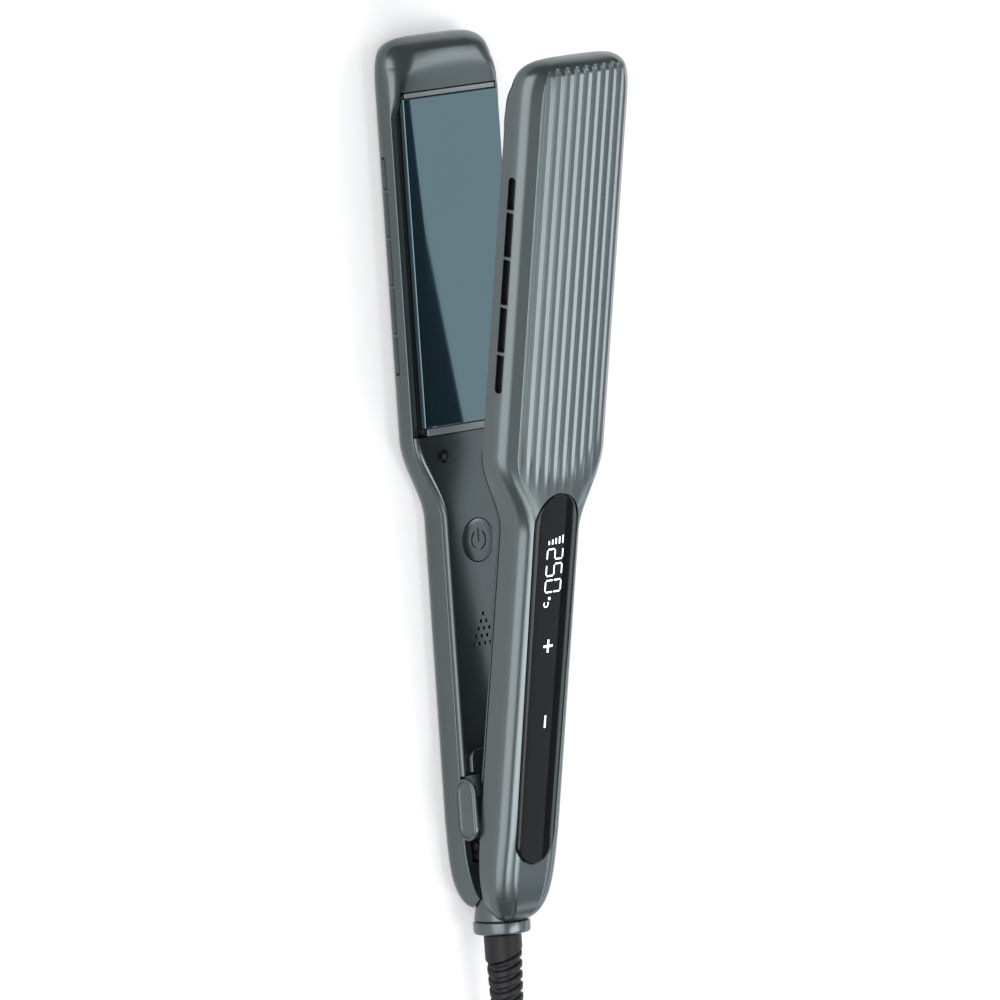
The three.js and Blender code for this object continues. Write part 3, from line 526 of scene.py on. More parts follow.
MATERIALS = {
    "housing": make_material("housing", (0.078, 0.094, 0.098), 0.29, metallic=0.85, coat=0.15,
                             coat_roughness=0.12, variation=0.04, grain=2500, bump=0.004,
                             roughness_spread=0.025),
    "cover": make_material("cover", (0.07, 0.086, 0.09), 0.24, metallic=0.85, coat=0.15,
                           coat_roughness=0.12, variation=0.04, grain=2500, bump=0.004,
                             roughness_spread=0.025),
    "plate": make_material("plate", (0.09, 0.134, 0.154), 0.06, metallic=1.0, variation=0.03,
                           grain=900, bump=0.004, roughness_spread=0.02),
    "bar": make_material("bar", (0.2, 0.22, 0.225), 0.4, metallic=0.4, grain=1800, bump=0.03),
    "dark_plastic": make_material("dark_plastic", (0.008, 0.009, 0.01), 0.42, specular=0.25,
                                  grain=1800, bump=0.08),
    "lens": make_material("lens", (0.002, 0.003, 0.004), 0.07, specular=0.14,
                          variation=0.1, bump=0.002, roughness_spread=0.02),
    "rubber": make_material("rubber", (0.008, 0.008, 0.009), 0.5, specular=0.2, grain=1500, bump=0.12),
    "steel": make_material("steel", (0.55, 0.56, 0.57), 0.28, metallic=1.0, grain=1600, bump=0.05),
    "ceramic": make_material("ceramic", (0.82, 0.8, 0.75), 0.6, grain=1200, bump=0.1),
    "silicone": make_material("silicone", (0.4, 0.08, 0.05), 0.55, grain=1200, bump=0.08),
    "board": make_material("board", (0.015, 0.12, 0.06), 0.4, variation=0.2, grain=700, bump=0.08),
    "brass": make_material("brass", (0.62, 0.45, 0.18), 0.26, metallic=1.0, grain=1600, bump=0.04),
    "cord": make_material("cord", (0.009, 0.009, 0.01), 0.45, specular=0.2, grain=900, bump=0.12),
    "display_light": light_material("display_light", (0.95, 0.97, 1.0), 1.6),
}


def dress_cad_nodes():
    """Every CAD node that stays gets its slot's procedural material."""
    slots = {row["node"]: row["material_slot"] for row in frame["record"]["subparts"]}
    for node, slot in slots.items():
        obj = frame["nodes"][node]
        obj.data.materials.clear()
        obj.data.materials.append(MATERIALS[slot])


# ---- cord, its hank, tie and plug ----

def cord_route():
    """The loose stretch from the strain relief down to the surface, in metres."""
    x = RELIEF_END_X * MM
    axis, lift = AXIS_Z * MM, CORD_LIFT * MM
    return [
        (x + 0.0004, 0, axis),
        (x + 0.008, 0, axis - 0.0001),
        (x + 0.016, -0.0002, axis - 0.0009),
        (x + 0.024, -0.0008, axis - 0.0027),
        (x + 0.032, -0.002, axis - 0.005),
        (x + 0.040, -0.004, axis - 0.0073),
        (x + 0.048, -0.007, lift + 0.0009),
        (x + 0.057, -0.0112, lift + 0.0001),
        (x + 0.066, -0.0158, lift),
        (x + 0.075, -0.020, lift),
        (x + 0.084, -0.0232, lift + 0.0004),
        (x + 0.092, -0.025, lift + 0.001),
    ]


def hank_lane(quarter):
    """One of the four lanes of the hank's section: (radius of the turn, height), in mm."""
    angle = -math.pi / 4 - quarter * math.pi / 2
    middle = (HANK["outer"] + HANK["inner"]) / 2
    centre_z = HANK["bottom"] + 2 * CORD_RADIUS
    reach = CORD_RADIUS * math.sqrt(2)
    return middle + reach * math.cos(angle), centre_z + reach * math.sin(angle)


def hank_turns():
    """Four turns. Each passes to the next lane as it rounds the near fold."""
    near, far = HANK["x"], HANK["x"] + HANK["run"]
    points = []
    for turn in range(4):
        radius, z = hank_lane(turn)
        points += [(near + HANK["run"] * i / 12, -radius, z) for i in range(12)]
        for i in range(25):
            a = math.pi * i / 24
            points.append((far + radius * math.sin(a), -radius * math.cos(a), z))
        last = turn == 3
        for i in range(1, 12):
            rise = 7.2 * float(smoothstep(i, 5, 11.5)) if last else 0
            points.append((far - HANK["run"] * i / 12, radius, z + rise))
        if not last:
            for i in range(24):
                r, z = hank_lane(turn + float(smoothstep(i, 0, 24)))
                a = math.pi * i / 24
                points.append((near - r * math.sin(a), r * math.cos(a), z))
    return points


def hank_tail():
    """Over the top: a last fold above the others, then along to the plug."""
    radius, z = HANK["inner"], HANK["bottom"] + 5 * CORD_RADIUS + 0.3
    middle = HANK["outer"] - radius
    points = []
    for i in range(25):
        a = math.pi * i / 24
        hump = 0.5 * math.cos(a / 2) ** 2
        points.append((HANK["x"] - radius * math.sin(a), middle + radius * math.cos(a), z + hump))
    x = HANK["x"]
    return points + [(x + 12, -12.6, z), (x + 32, -10.4, z), (x + 56, -9, z)]


def through(points, steps=6):
    """A Catmull-Rom line through points, dense enough to draw."""
    points = np.asarray(points, float)
    ends = np.vstack([2 * points[0] - points[1], points, 2 * points[-1] - points[-2]])
    line = []
    for a, b, c, d in zip(ends, ends[1:], ends[2:], ends[3:]):
        for t in np.arange(steps) / steps:
            line.append(0.5 * (2 * b + (c - a) * t + (2 * a - 5 * b + 4 * c - d) * t ** 2
                               + (3 * b - a - 3 * c + d) * t ** 3))
    line.append(points[-1])
    return np.array(line)


def make_cord(material):
    """The whole cord as one round sheath along its route."""
    route = cord_route() + [tuple(v * MM for v in p) for p in hank_turns() + hank_tail()]
    line = through(route, 3)
    data = bpy.data.curves.new("cord", "CURVE")
    data.dimensions = "3D"
    data.bevel_depth = CORD_RADIUS * MM
    data.bevel_resolution = 5
    data.use_fill_caps = True
    spline = data.splines.new("POLY")
    spline.points.add(len(line) - 1)
    for point, position in zip(spline.points, line):
        point.co = (*position, 1)
    spline.use_smooth = True
    cord = bpy.data.objects.new("cord", data)
    bpy.context.scene.collection.objects.link(cord)
    return finish_piece(cord, "lower_arm", material, ["cord_tube", "cord_hank", "cord_tail"])


TIE = {"x": HANK["x"] + 22, "width": 12.0, "half": 29.1, "low": 1.05, "high": 21.6, "corner": 8.5}


def make_tie(material):
    """A flat strap round the hank and the cord's last run."""
    rings = []
    centre_z = (TIE["low"] + TIE["high"]) / 2
    size = np.array([TIE["half"], (TIE["high"] - TIE["low"]) / 2])
    band = TIE["width"] / 2
    edge = [(-band, 0.2), (0.3 - band, 0.5), (band - 0.3, 0.5), (band, 0.2),
            (band, -0.2), (band - 0.3, -0.45), (0.3 - band, -0.45), (-band, -0.2)]
    for y, z in rounded_rectangle(-size[0], size[0], -size[1], size[1], TIE["corner"], 12):
        corner = np.clip(np.array([y, z]), TIE["corner"] - size, size - TIE["corner"])
        out = np.array([y, z]) - corner
        out = out / np.linalg.norm(out)
        rings.append([(TIE["x"] + band + x, y + out[0] * o, centre_z + z + out[1] * o) for x, o in edge])
    tie = loft("tie_fine", np.array(rings) * MM, 30, hoop=True)
    return finish_piece(tie, "lower_arm", material, ["cord_tie"])


PLUG = {"x": HANK["x"] + 62, "y": -9.0, "length": 34.0, "half": 10.0, "high": 6.5, "nose": 9.0}
PLUG_Z = HANK["bottom"] + 4 * CORD_RADIUS + 0.3 + PLUG["high"]


def make_plug(material):
    """A moulded two-pin plug: ribbed nose, flared grip and flat front."""
    cord_z = HANK["bottom"] + 5 * CORD_RADIUS + 0.3
    turn = np.linspace(0, 2 * math.pi, 64, endpoint=False)
    rings = []

    def ring(x, half, high, z, power):
        y = np.sign(np.cos(turn)) * np.abs(np.cos(turn)) ** (2 / power) * half
        up = np.sign(np.sin(turn)) * np.abs(np.sin(turn)) ** (2 / power) * high
        rings.append(np.stack([np.full(64, x), PLUG["y"] + y, z + up], axis=-1) * MM)

    start = PLUG["x"] - PLUG["nose"]
    ring(start + 0.05, 3.4, 3.3, cord_z + 0.1, 2)
    for i in range(6):
        rib = start + 0.4 + i * 1.8
        share = i / 6
        for offset, grow in ((0, 0.25), (0.15, 0.55), (0.85, 0.6), (1.0, 0.3), (1.1, 0), (1.7, 0)):
            ring(rib + offset, 3.5 + 0.9 * share + grow, 3.0 + 0.2 * share + 0.3 * grow,
                 cord_z + 0.15 + 0.9 * share, 2)
    body = start + 11.6
    for share in np.linspace(0, 1, 14):
        ease = float(smoothstep(share, 0, 1))
        ring(body + 12 * share, 4.6 + 5.2 * ease, 3.5 + 2.9 * ease,
             cord_z + 1.05 + 2.25 * ease, 2 + 1.6 * ease)
    end = PLUG["x"] + PLUG["length"]
    for offset, shrink in ((-6, 0.15), (-1.2, 0.05), (-0.5, 0.2), (-0.1, 0.65), (0, 1.1)):
        ring(end + offset, PLUG["half"] - 0.1 - shrink, PLUG["high"] - 0.05 - shrink, PLUG_Z, 3.6)
    plug = loft("plug_fine", rings, 30)
    return finish_piece(plug, "lower_arm", material, ["plug_body"])


def make_plug_pin(side, name, material):
    """One round pin of the plug, with its insulating sleeve step."""
    x = PLUG["x"] + PLUG["length"] + 0.3
    profile = [(0, 1.9), (0.2, 2.0), (9.3, 2.0), (9.35, 1.93), (9.6, 1.93), (17.4, 1.95), (18.2, 1.75),
               (18.8, 1.2), (19.0, 0.5)]
    pin = turned(f"pin_{name}_fine", profile, (x, PLUG["y"] + side * 6.5, PLUG_Z), segments=32)
    return finish_piece(pin, "lower_arm", material, [f"plug_pin_{name}"])


def make_cord_set():
    """The cord, its tie, and its plug with its pins."""
    cord = make_cord(MATERIALS["cord"])
    pieces = [make_tie(MATERIALS["rubber"]), make_plug(MATERIALS["cord"])]
    for side, name in ((-1, "near"), (1, "far")):
        pieces.append(make_plug_pin(side, name, MATERIALS["brass"]))


# ---- stage ----

FLOOR_GLOW = 0.2


def make_floor():
    """A wide white sweep that glows a little, as a lit table does."""
    floor = new_object("floor", [(-8, -8, 0), (8, -8, 0), (8, 8, 0), (-8, 8, 0)], [(0, 1, 2, 3)])
    material = make_material("floor", (0.76, 0.76, 0.76), 0.9, variation=0.01, bump=0.0, specular=0.1)
    shader = material.node_tree.nodes["Principled BSDF"]
    shader.inputs["Emission Color"].default_value = (1, 1, 1, 1)
    shader.inputs["Emission Strength"].default_value = FLOOR_GLOW
    floor.data.materials.append(material)
    floor.location.z = -0.0004


def make_stage():
    """The floor, a dim world and the softboxes."""
    make_floor()
    world = bpy.data.worlds.new("studio")
    bpy.context.scene.world = world
    world.use_nodes = True
    background = world.node_tree.nodes["Background"]
    background.inputs["Color"].default_value = (0.95, 0.98, 1.0, 1)
    background.inputs["Strength"].default_value = 0.35
    soft_box("near_box", (-0.05, -1.8, 1.05), 3.4, 1.9, 3.4)
    soft_box("top_box", (1.1, 0.36, 2.4), 1.8, 0.9, 7.5)
    soft_box("far_box", (0.1, 1.7, 1.75), 2.4, 0.9, 1.15, (0.93, 0.98, 1.0))
    soft_box("nose_box", (-0.55, 1.68, 1.68), 0.45, 1.0, 3.5)
    soft_box("far_strip", (0.7, 2.0, 0.62), 2.2, 0.5, 3.0, (0.8, 0.93, 1.0))


def soft_box(name, location, length, height, radiance, color=(1, 1, 1)):
    """A long softbox whose length runs along X, aimed at the object, of the given brightness."""
    data = bpy.data.lights.new(name, "AREA")
    data.shape = "RECTANGLE"
    data.size, data.size_y = length, height
    data.energy = radiance * math.pi * length * height
    data.color = color
    box = bpy.data.objects.new(name, data)
    box.location = location
    box.rotation_mode = "QUATERNION"
    box.rotation_quaternion = (Vector((0, 0, 0.02)) - Vector(location)).to_track_quat("-Z", "X")
    box.rotation_quaternion @= Matrix.Rotation(math.pi / 2, 4, "Z").to_quaternion()
    bpy.context.scene.collection.objects.link(box)
    return box


# ---- covers, frames and plates ----

def cover_ring(s, arm):
    """Across a handle's inner cover: flat face, rounded edges and a locating lip inside."""
    width = float(half_width(s, "lower")) - 0.12
    bevel = 1.7 + 2.3 * float(smoothstep(s, *NECK))
    turn = np.linspace(0, math.pi / 2, 9)
    drop = COVER_RAISE - 0.25
    w = [*np.linspace(0, width - bevel, 6)[:-1], *(width - bevel + bevel * np.sin(turn))]
    n = [*[-COVER_RAISE] * 5, *(-COVER_RAISE + drop * (1 - np.cos(turn)))]
    w += [width - 3.1, width - 3.1, 0]
    n += [-0.25, 1.0, 1.0]
    w = np.array(w + [-v for v in w[-2:0:-1]])
    n = np.array(n + n[-2:0:-1])
    return place(arm, s, w, n)


def post_tool(arm, s, w, radius, low, high, segments=40, flare=0.0):
    """A round cutter along n, opening out by flare at its low-n mouth."""
    outline = np.array(circle(0, 0, radius, segments))
    steps = [(low, 1 + 3 * flare / radius), (-COVER_RAISE - 0.02, 1 + flare / radius),
             (-COVER_RAISE + flare + 0.02, 1), (high, 1)]
    rings = [place(arm, s + outline[:, 0] * k, w + outline[:, 1] * k, n) for n, k in steps]
    return loft("post_tool", rings)


BUTTON = {"s": 101.8, "radius": 7.15, "gap": 0.22}
BUMPER = {"s": 131.3, "w": 13.3, "radius": 1.6, "sink": 0.95, "recess": 2.1}
GRILLE = {"s": 77.1, "rows": 5, "row_step": 2.45, "pitch": 2.5, "radius": 0.62}


def make_cover(arm, material):
    """A handle's inner cover, with the lower one's button hole, stop recesses and grille."""
    stations = [24, *np.linspace(24.8, 109, 12), *np.linspace(111, 138.4, 26)]
    cover = loft(f"{arm}_cover_fine", [cover_ring(s, arm) for s in stations], 35)
    if arm == "lower":
        boolean(cover, post_tool(arm, BUTTON["s"], 0, BUTTON["radius"] + BUTTON["gap"], -4, 3, 72, 0.15))
        for side in (-1, 1):
            boolean(cover, post_tool(arm, BUMPER["s"], side * BUMPER["w"], BUMPER["recess"],
                                     -4, -0.7, 32, 0.25))
        for row in range(GRILLE["rows"]):
            for i in range(row + 1):
                w = (i - row / 2) * GRILLE["pitch"]
                s = GRILLE["s"] - row * GRILLE["row_step"]
                boolean(cover, post_tool(arm, s, w, GRILLE["radius"], -4, 3, 16, 0.08))
    smooth(cover, 32)
    return finish_piece(cover, f"{arm}_arm", material, [f"{arm}_inner_cover"])


def make_button(material):
    """The power button with its engraved ring and stroke."""
    outline = np.array(circle(0, 0, 1, 72))
    top = -COVER_RAISE - 0.12
    profile = [(1.9, 1.9), (0.6, 2.0), (0.6, 7.0), (0.4, 7.15), (top + 0.12, 7.15), (top + 0.04, 7.11),
               (top, 7.0), (top, 3.9)]
    rings = [place("lower", BUTTON["s"] + outline[:, 0] * r, outline[:, 1] * r, n) for n, r in profile]
    button = loft("power_button_fine", rings, 30)
    glyph = power_glyph(3.2, 0.75, top - 0.4, top + 0.35)
    for tool in glyph:
        boolean(button, tool)
    smooth(button, 30)
    return finish_piece(button, "power_button", material, ["power_button"])


def power_glyph(radius, line, low, high):
    """A broken ring and a stroke towards the tip: the standard on and off symbol."""
    inner, outer = radius - line / 2, radius + line / 2
    gap = math.radians(32)
    angles = np.linspace(gap, 2 * math.pi - gap, 48)
    points = [(outer * math.cos(a), outer * math.sin(a)) for a in angles]
    points += [(inner * math.cos(a), inner * math.sin(a)) for a in angles[::-1]]
    ring = [(BUTTON["s"] + s, w) for s, w in points]
    stroke = rounded_rectangle(BUTTON["s"] - 0.6, BUTTON["s"] + 3.9, -line / 2, line / 2, 0.25, 4)
    return [plan_prism("glyph_tool", "lower", ring, low, high),
            plan_prism("glyph_tool", "lower", stroke, low, high)]


def make_bumpers(material):
    """The two rubber stops beside the plates."""
    for side, name in ((-1, "near"), (1, "far")):
        centre = place("lower", BUMPER["s"], side * BUMPER["w"], -BUMPER["sink"] - BUMPER["radius"])
        bm = bmesh.new()
        bmesh.ops.create_icosphere(bm, subdivisions=4, radius=BUMPER["radius"] * MM)
        mesh = bpy.data.meshes.new(f"bumper_{name}")
        bm.to_mesh(mesh)
        bm.free()
        mesh.transform(Matrix.Translation(Vector(centre)))
        bumper = bpy.data.objects.new(f"bumper_{name}", mesh)
        bpy.context.scene.collection.objects.link(bumper)
        smooth(bumper)
        finish_piece(bumper, "lower_arm", material, [f"stop_bumper_{name}"])


FRAME = {"start": 138.8, "end": 253.1, "half": 22.2, "top": -2.9, "depth": 3.8}
PLATE = {"start": 141.5, "end": 251.2, "half": 21.9, "proud": 3.1, "thickness": 1.9, "edge": 0.5}
RAIL = {"inner": 6.0, "outer": 8.0, "depth": 2.6}
FRAME_SCREW = {"s": (147, 245), "w": 16, "bore": 1.8, "recess": 2.9}
CAP_DEPTH = 0.5


def make_plate_frame(arm, material):
    """The carrier: a tray with end bars, rounded corners and a slot for the plate's rails."""
    tray = plan_prism(f"{arm}_frame_fine", arm,
                      rounded_rectangle(FRAME["start"], FRAME["end"], -FRAME["half"], FRAME["half"], 1.6),
                      FRAME["top"], FRAME["depth"])
    bevelled(tray, 0.35, 3, 60)
    trim_top = rounded_rectangle(FRAME["start"] - 1, FRAME["end"] + 1, -25, 25, 0.3, 3)
    boolean(tray, plan_prism("trim_tool", arm, trim_top, -6, FRAME["top"] + CAP_DEPTH))
    well = rounded_rectangle(PLATE["start"] - 0.25, PLATE["end"] + 0.25, -25, 25, 0.3, 3)
    boolean(tray, plan_prism("well_tool", arm, well, -6, -0.4))
    slot = rounded_rectangle(PLATE["start"] + 3, PLATE["end"] - 3, -8.6, 8.6, 1.5)
    boolean(tray, plan_prism("slot_tool", arm, slot, -6, 8))
    for s in FRAME_SCREW["s"]:
        for w in (-FRAME_SCREW["w"], FRAME_SCREW["w"]):
            boolean(tray, plan_prism("bore_tool", arm, circle(s, w, FRAME_SCREW["bore"], 24), -6, 8))
            boolean(tray, plan_prism("recess_tool", arm, circle(s, w, FRAME_SCREW["recess"], 28), -6, 2))
    smooth(tray, 35)
    return finish_piece(tray, f"{arm}_arm", material, [f"{arm}_plate_frame"])


def make_end_bars(arm, material):
    """The light bars that finish the carrier's two ends, either side of the plate."""
    for name, s0, s1 in (("hinge", FRAME["start"], 141.2), ("tip", 251.5, FRAME["end"])):
        outline = rounded_rectangle(s0 + 0.03, s1 - 0.03, -FRAME["half"] + 1.3, FRAME["half"] - 1.3, 0.3, 4)
        cap = plan_prism(f"{arm}_{name}_bar", arm, outline, FRAME["top"], FRAME["top"] + CAP_DEPTH - 0.02)
        bevelled(cap, 0.16, 3, 50)
        finish_piece(cap, f"{arm}_arm", material)


def make_plate(arm, material):
    """A heating plate with softened long edges, its two heater rails under it."""
    slab_n = -PLATE["proud"] + PLATE["thickness"]
    half = PLATE["half"]
    long_edge = PLATE["edge"]
    turn = np.linspace(0, math.pi / 2, 8)
    w = [*np.linspace(0, half - long_edge, 5)[:-1], *(half - long_edge + long_edge * np.sin(turn))]
    n = [*[-PLATE["proud"]] * 4, *(-PLATE["proud"] + 0.45 * (1 - np.cos(turn)))]
    w += [half, RAIL["outer"], RAIL["outer"], RAIL["inner"], RAIL["inner"], 0]
    n += [slab_n, slab_n, RAIL["depth"], RAIL["depth"], slab_n, slab_n]
    w = np.array(w + [-v for v in w[-2:0:-1]])
    n = np.array(n + n[-2:0:-1])
    ends = [PLATE["start"], PLATE["start"] + 0.25, PLATE["end"] - 0.25, PLATE["end"]]
    middle = -PLATE["proud"] + 1.0
    rings = [place(arm, s, w, n if 0 < i < 3 else middle + (n - middle) * 0.82)
             for i, s in enumerate(ends)]
    plate = loft(f"{arm}_plate_fine", rings, 30)
    return finish_piece(plate, f"{arm}_plate", material, [f"{arm}_plate"])


# ---- display ----

LENS_BASE = 11.4
LENS_TOP = 12.75


def lens_height(w):
    """The dome across the display lens, which falls away more on its far side."""
    w = np.asarray(w, float)
    return LENS_TOP - np.where(w > 0, 1.1 * (np.abs(w) / 10) ** 2.4, 0.6 * (np.abs(w) / 10) ** 6)


def make_lens(material):
    """The glossy display lens, domed across and rounded at its rim."""
    rings = []
    for grow, below in ((0, 1.3), (0, 0.32), (-0.12, 0.12), (-0.4, 0.0)):
        outline = np.array(lens_outline(grow))
        n = lens_height(outline[:, 1]) - below
        n = np.full(len(outline), LENS_BASE) if below == 1.3 else n
        rings.append(place("upper", outline[:, 0], outline[:, 1], n))
    for share in np.linspace(0.92, 0.04, 14):
        outline = np.array(lens_outline(-0.4))
        w = outline[:, 1] * share
        rings.append(place("upper", outline[:, 0], w, lens_height(w)))
    lens = loft("lens_fine", rings, 30)
    return finish_piece(lens, "upper_arm", material, ["display_lens"])


SEGMENTS = {"2": "abged", "5": "afgcd", "0": "abcdef"}


def digit_bars(code, s0, s1, w0, w1, thick):
    """Seven-segment bars, read from the tip towards the hinge, tops towards +w."""
    mid = (w0 + w1) / 2
    gap = 0.12
    flat = {"a": w1, "g": mid, "d": w0}
    upright = {"f": (s0, mid, w1), "e": (s0, w0, mid), "b": (s1, mid, w1), "c": (s1, w0, mid)}
    bars = []
    for key in SEGMENTS[code]:
        if key in flat:
            bars.append(hexagon((s0 - gap * 2, flat[key]), (s1 + gap * 2, flat[key]), thick))
        else:
            s, low, high = upright[key]
            bars.append(hexagon((s, low + gap * 2), (s, high - gap * 2), thick))
    return bars


def hexagon(start, end, thick):
    """A bar with pointed ends between two (s, w) points."""
    start, end = np.array(start), np.array(end)
    along = (end - start) / np.linalg.norm(end - start)
    across = np.array([-along[1], along[0]]) * thick / 2
    tip = along * thick / 2
    return [start, start + tip + across, end - tip + across, end, end - tip - across, start + tip - across]


def bar(start, end, thick):
    """A straight bar with square ends between two (s, w) points."""
    start, end = np.array(start, float), np.array(end, float)
    along = (end - start) / np.linalg.norm(end - start)
    across = np.array([-along[1], along[0]]) * thick / 2
    return [start + across, end + across, end - across, start - across]


def arc_bars(s, w, radius, thick, start, end, steps=14):
    """An arc made of short bars, with angles in degrees from the tip side."""
    angles = np.radians(np.linspace(start, end, steps + 1))
    points = [(s - radius * math.cos(a), w + radius * math.sin(a)) for a in angles]
    return [bar(a, b, thick) for a, b in zip(points, points[1:])]


def make_display(material):
    """Lit level bars, three digits, the degree sign and C, and the plus and minus marks."""
    shapes = []
    for i in range(5):
        w = -3.7 + 1.6 * i
        shapes.append(bar((106.9, w), (108.2 + 0.35 * i, w), 0.55))
    cells = [("2", 105.3, 101.7), ("5", 100.1, 96.2), ("0", 94.6, 90.6)]
    for code, s0, s1 in cells:
        shapes += digit_bars(code, s0, s1, -4.2, 3.0, 0.5)
    shapes += arc_bars(88.4, -1.9, 0.42, 0.24, 0, 360, 10)
    shapes += arc_bars(86.6, -3.3, 1.0, 0.34, -130, 130, 10)
    shapes += [bar((74.2, -1.0), (69.8, -1.0), 0.75), bar((72.0, -3.1), (72.0, 1.1), 0.75)]
    shapes += [bar((48.1, 0), (43.9, 0), 0.7)]
    verts, faces = [], []
    for shape in shapes:
        shape = np.array(shape)
        base = len(verts)
        count = len(shape)
        for lift in (0.035, 0.005):
            n = lens_height(shape[:, 1]) + lift
            verts += [tuple(p) for p in place("upper", shape[:, 0], shape[:, 1], n)]
        faces.append(tuple(range(base, base + count)))
        faces.append(tuple(range(base + 2 * count - 1, base + count - 1, -1)))
        for i in range(count):
            j = (i + 1) % count
            faces.append((base + i, base + j, base + count + j, base + count + i))
    marks = new_object("display_marks", verts, faces, 20)
    return finish_piece(marks, "upper_arm", material)


# ---- hinge end ----

def world_box(name, low, high, bevel=0.3):
    """A box between two corners in world millimetres, with softened edges."""
    x0, y0, z0 = low
    x1, y1, z1 = high
    corners = [(x0, y0), (x1, y0), (x1, y1), (x0, y1)]
    rings = [[(x, y, z) for x, y in corners] for z in (z0, z1)]
    box = loft(name, np.array(rings, float) * MM)
    return bevelled(box, bevel, 2, 60) if bevel else box


def make_tail_block(material):
    """The block that holds the pin and the swivel, seamed along both sides."""
    profile = [(5.9, 6.2), (6.5, 7.0), (7.4, 7.3), (14.0, 8.0), (20.0, 8.2), (24.6, 9.1), (25.5, 9.15),
               (25.8, 8.9)]
    block = turned("tail_block_fine", profile, (PIVOT_X, 0, AXIS_Z), segments=96)
    for side in (-1, 1):
        y0, y1 = sorted((side * 3.85, side * 5.95))
        low, high = (PIVOT_X - 4.4, y0, PIVOT_Z - 3.3), (PIVOT_X + 9, y1, PIVOT_Z + 3.3)
        cheek = world_box("cheek", low, high, 0.6)
        boolean(block, cheek, "UNION")
    boolean(block, turned("bore_tool", [(19.7, 5.05), (27.5, 5.05)], (PIVOT_X, 0, AXIS_Z)))
    boolean(block, turned("pin_tool", [(-9, 2.05), (9, 2.05)], (PIVOT_X, 0, PIVOT_Z), "Y", 32))
    for y in (-4.6, 4.6):
        boolean(block, world_box("seam_tool", (PIVOT_X + 9, y - 0.16, AXIS_Z + 5),
                                 (PIVOT_X + 25, y + 0.16, AXIS_Z + 12), 0))
    smooth(block, 32)
    return finish_piece(block, "lower_arm", material, ["tail_block"])


def make_swivel_ring(material):
    """The collar that holds the strain relief in the block."""
    profile = [(26.1, 5.45), (26.1, 9.4), (26.35, 9.65), (29.2, 9.65), (29.9, 9.4), (30.25, 8.9),
               (30.3, 8.4), (30.3, 5.45)]
    rings = []
    angles = np.linspace(0, 2 * math.pi, 96, endpoint=False)
    for along, radius in profile:
        ring = np.stack([along + 0 * angles, radius * np.cos(angles), radius * np.sin(angles)], axis=-1)
        rings.append((ring + (PIVOT_X, 0, AXIS_Z)) * MM)
    ring = loft("swivel_ring_fine", rings, 30, hoop=True)
    return finish_piece(ring, "lower_arm", material, ["swivel_ring"])


RELIEF = {"start": 30.6, "end": 84.0, "sleeve": 6.35, "sleeve_end": 37.2, "slant": 2.6}


def relief_radius(x, angle):
    """A smooth sleeve with a slanted end, then twisted ribs that taper to the cord."""
    edge = RELIEF["sleeve_end"] - RELIEF["slant"] * np.cos(angle)
    taper = np.clip((x - RELIEF["sleeve_end"]) / (RELIEF["end"] - RELIEF["sleeve_end"]), 0, 1)
    core = 5.0 + (3.75 - 5.0) * taper
    rib = 6.1 + (4.45 - 6.1) * taper
    phase = np.mod((x - edge) / 3.7 + angle / (2 * math.pi), 1)
    crest = smoothstep(phase, 0.24, 0.4) * (1 - smoothstep(phase, 0.82, 0.98))
    fade = smoothstep(x, edge, edge + 1.2) * (1 - smoothstep(x, 81.3, 82.6))
    ribbed = core + (rib - core) * crest * fade
    sleeve = 1 - smoothstep(x, edge, edge + 0.45)
    return np.maximum(ribbed, RELIEF["sleeve"] * sleeve + ribbed * (1 - sleeve))


def make_strain_relief(material):
    """The tapered relief: a sleeve and twisted ribs down to the cord."""
    angles = np.linspace(0, 2 * math.pi, 72, endpoint=False)
    rings = []
    inside = np.linspace(RELIEF["start"] + 0.3, RELIEF["end"] - 0.2, 260)
    stations = [RELIEF["start"], *inside, RELIEF["end"]]
    for i, x in enumerate(stations):
        radius = relief_radius(np.full(72, x), angles)
        radius = radius - 0.25 if i in (0, len(stations) - 1) else radius
        ring = np.stack([x + 0 * angles, radius * np.cos(angles), radius * np.sin(angles)], axis=-1)
        rings.append((ring + (PIVOT_X, 0, AXIS_Z)) * MM)
    relief = loft("strain_relief_fine", rings, 30)
    return finish_piece(relief, "strain_relief", material, ["strain_relief"])


LOCK = {"start": 2.6, "end": 23.5, "height": 9.4, "z": 16.4, "face": 16.4, "back": 14.85}


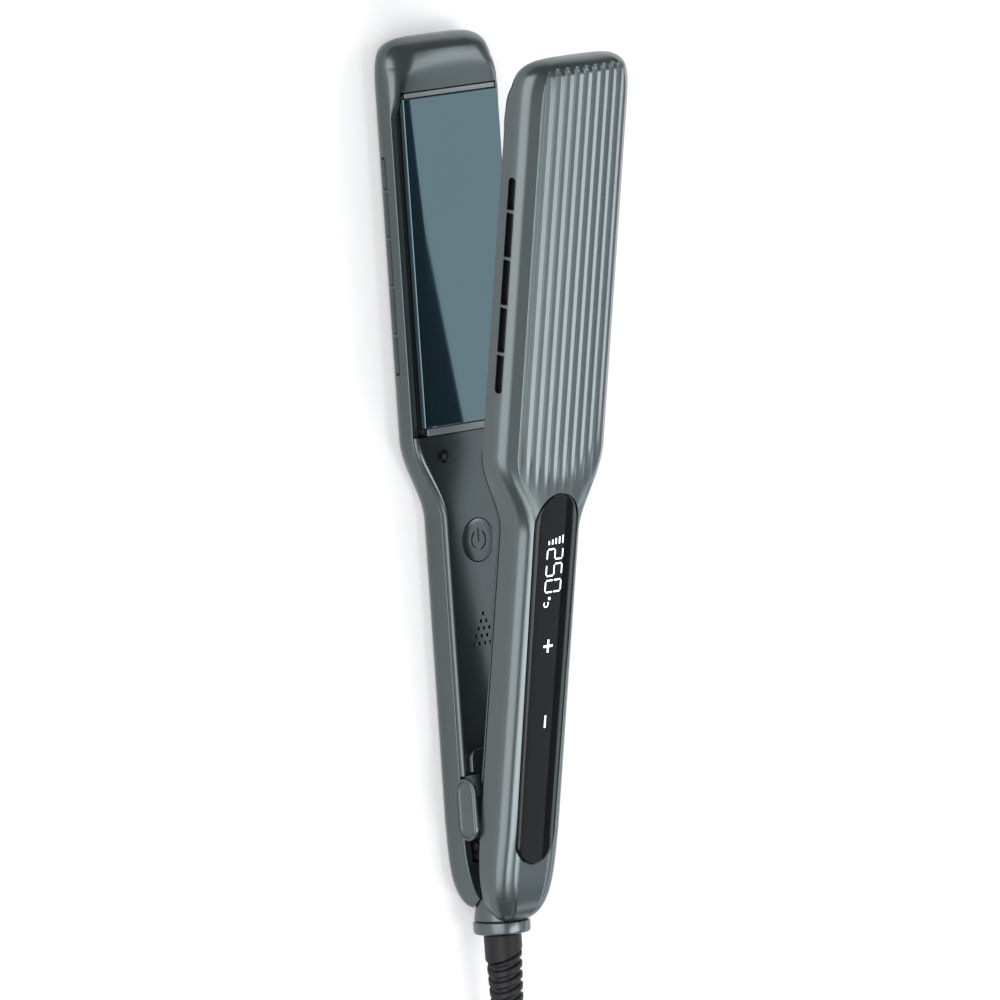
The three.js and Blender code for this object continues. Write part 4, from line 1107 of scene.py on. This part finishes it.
def make_lock(material):
    """The lock's knob: a stadium with a raised double rim round a dished face."""
    middle = PIVOT_X - (LOCK["start"] + LOCK["end"]) / 2
    length = LOCK["end"] - LOCK["start"]
    steps = [(0.35, LOCK["back"]), (0.05, LOCK["back"] + 0.25), (0, 15.9), (0.12, 16.2),
             (0.4, LOCK["face"]), (0.85, LOCK["face"]),
             (1.0, 16.15), (1.25, 16.1), (1.45, 16.25), (1.8, 16.25), (2.3, 15.95),
             (3.4, 15.8), (4.3, 15.78)]
    rings = []
    for inset, depth in steps:
        outline = stadium(length - 2 * inset, LOCK["height"] - 2 * inset, 20)
        x, y, z = middle + outline[:, 0], np.full(len(outline), -depth), LOCK["z"] + outline[:, 1]
        ring = np.stack([x, y, z], axis=-1)
        rings.append(ring * MM)
    knob = loft("lock_fine", rings, 25)
    stem = world_box("stem", (PIVOT_X - 15, -LOCK["back"] - 0.4, LOCK["z"] - 1.7),
                     (PIVOT_X - 9, -10, LOCK["z"] + 1.7), 0)
    bolt = world_box("bolt", (PIVOT_X - 17, -10.8, LOCK["z"] - 6), (PIVOT_X - 6, -9.4, LOCK["z"] + 2), 0.2)
    boolean(stem, bolt, "UNION")
    boolean(knob, stem, "UNION")
    smooth(knob, 25)
    return finish_piece(knob, "lock", material, ["lock_slider"])


def make_hinge_boss(material):
    """The raised pad on the lower cover beside the hinge, with stepped near corners."""
    outline = [(25, -12), (25, 12), (28.5, 12)]
    for centre, start in ((8.4, 90), (-8.4, 0)):
        for i in range(9):
            a = math.radians(start - 90 * i / 8)
            outline.append((29.4 + 3.6 * math.cos(a), centre + 3.6 * math.sin(a)))
    outline.append((28.5, -12))
    boss = plan_prism("hinge_boss_fine", "lower", outline, -4.1, -2.2)
    bevelled(boss, 0.5, 4, 50)
    return finish_piece(boss, "lower_arm", material, ["hinge_boss"])


# ---- the whole object and the finish ----

bpy.context.scene.view_settings.view_transform = "Standard"
make_cord_set()
make_stage()
dress_cad_nodes()
make_shell("lower", MATERIALS["housing"])
make_shell("upper", MATERIALS["housing"])
for side in ("lower", "upper"):
    make_cover(side, MATERIALS["cover"])
    make_plate_frame(side, MATERIALS["dark_plastic"])
    make_end_bars(side, MATERIALS["bar"])
    make_plate(side, MATERIALS["plate"])
make_button(MATERIALS["cover"])
make_bumpers(MATERIALS["rubber"])
make_lens(MATERIALS["lens"])
make_display(MATERIALS["display_light"])
make_tail_block(MATERIALS["housing"])
make_swivel_ring(MATERIALS["housing"])
make_strain_relief(MATERIALS["cord"])
make_lock(MATERIALS["housing"])
make_hinge_boss(MATERIALS["cover"])
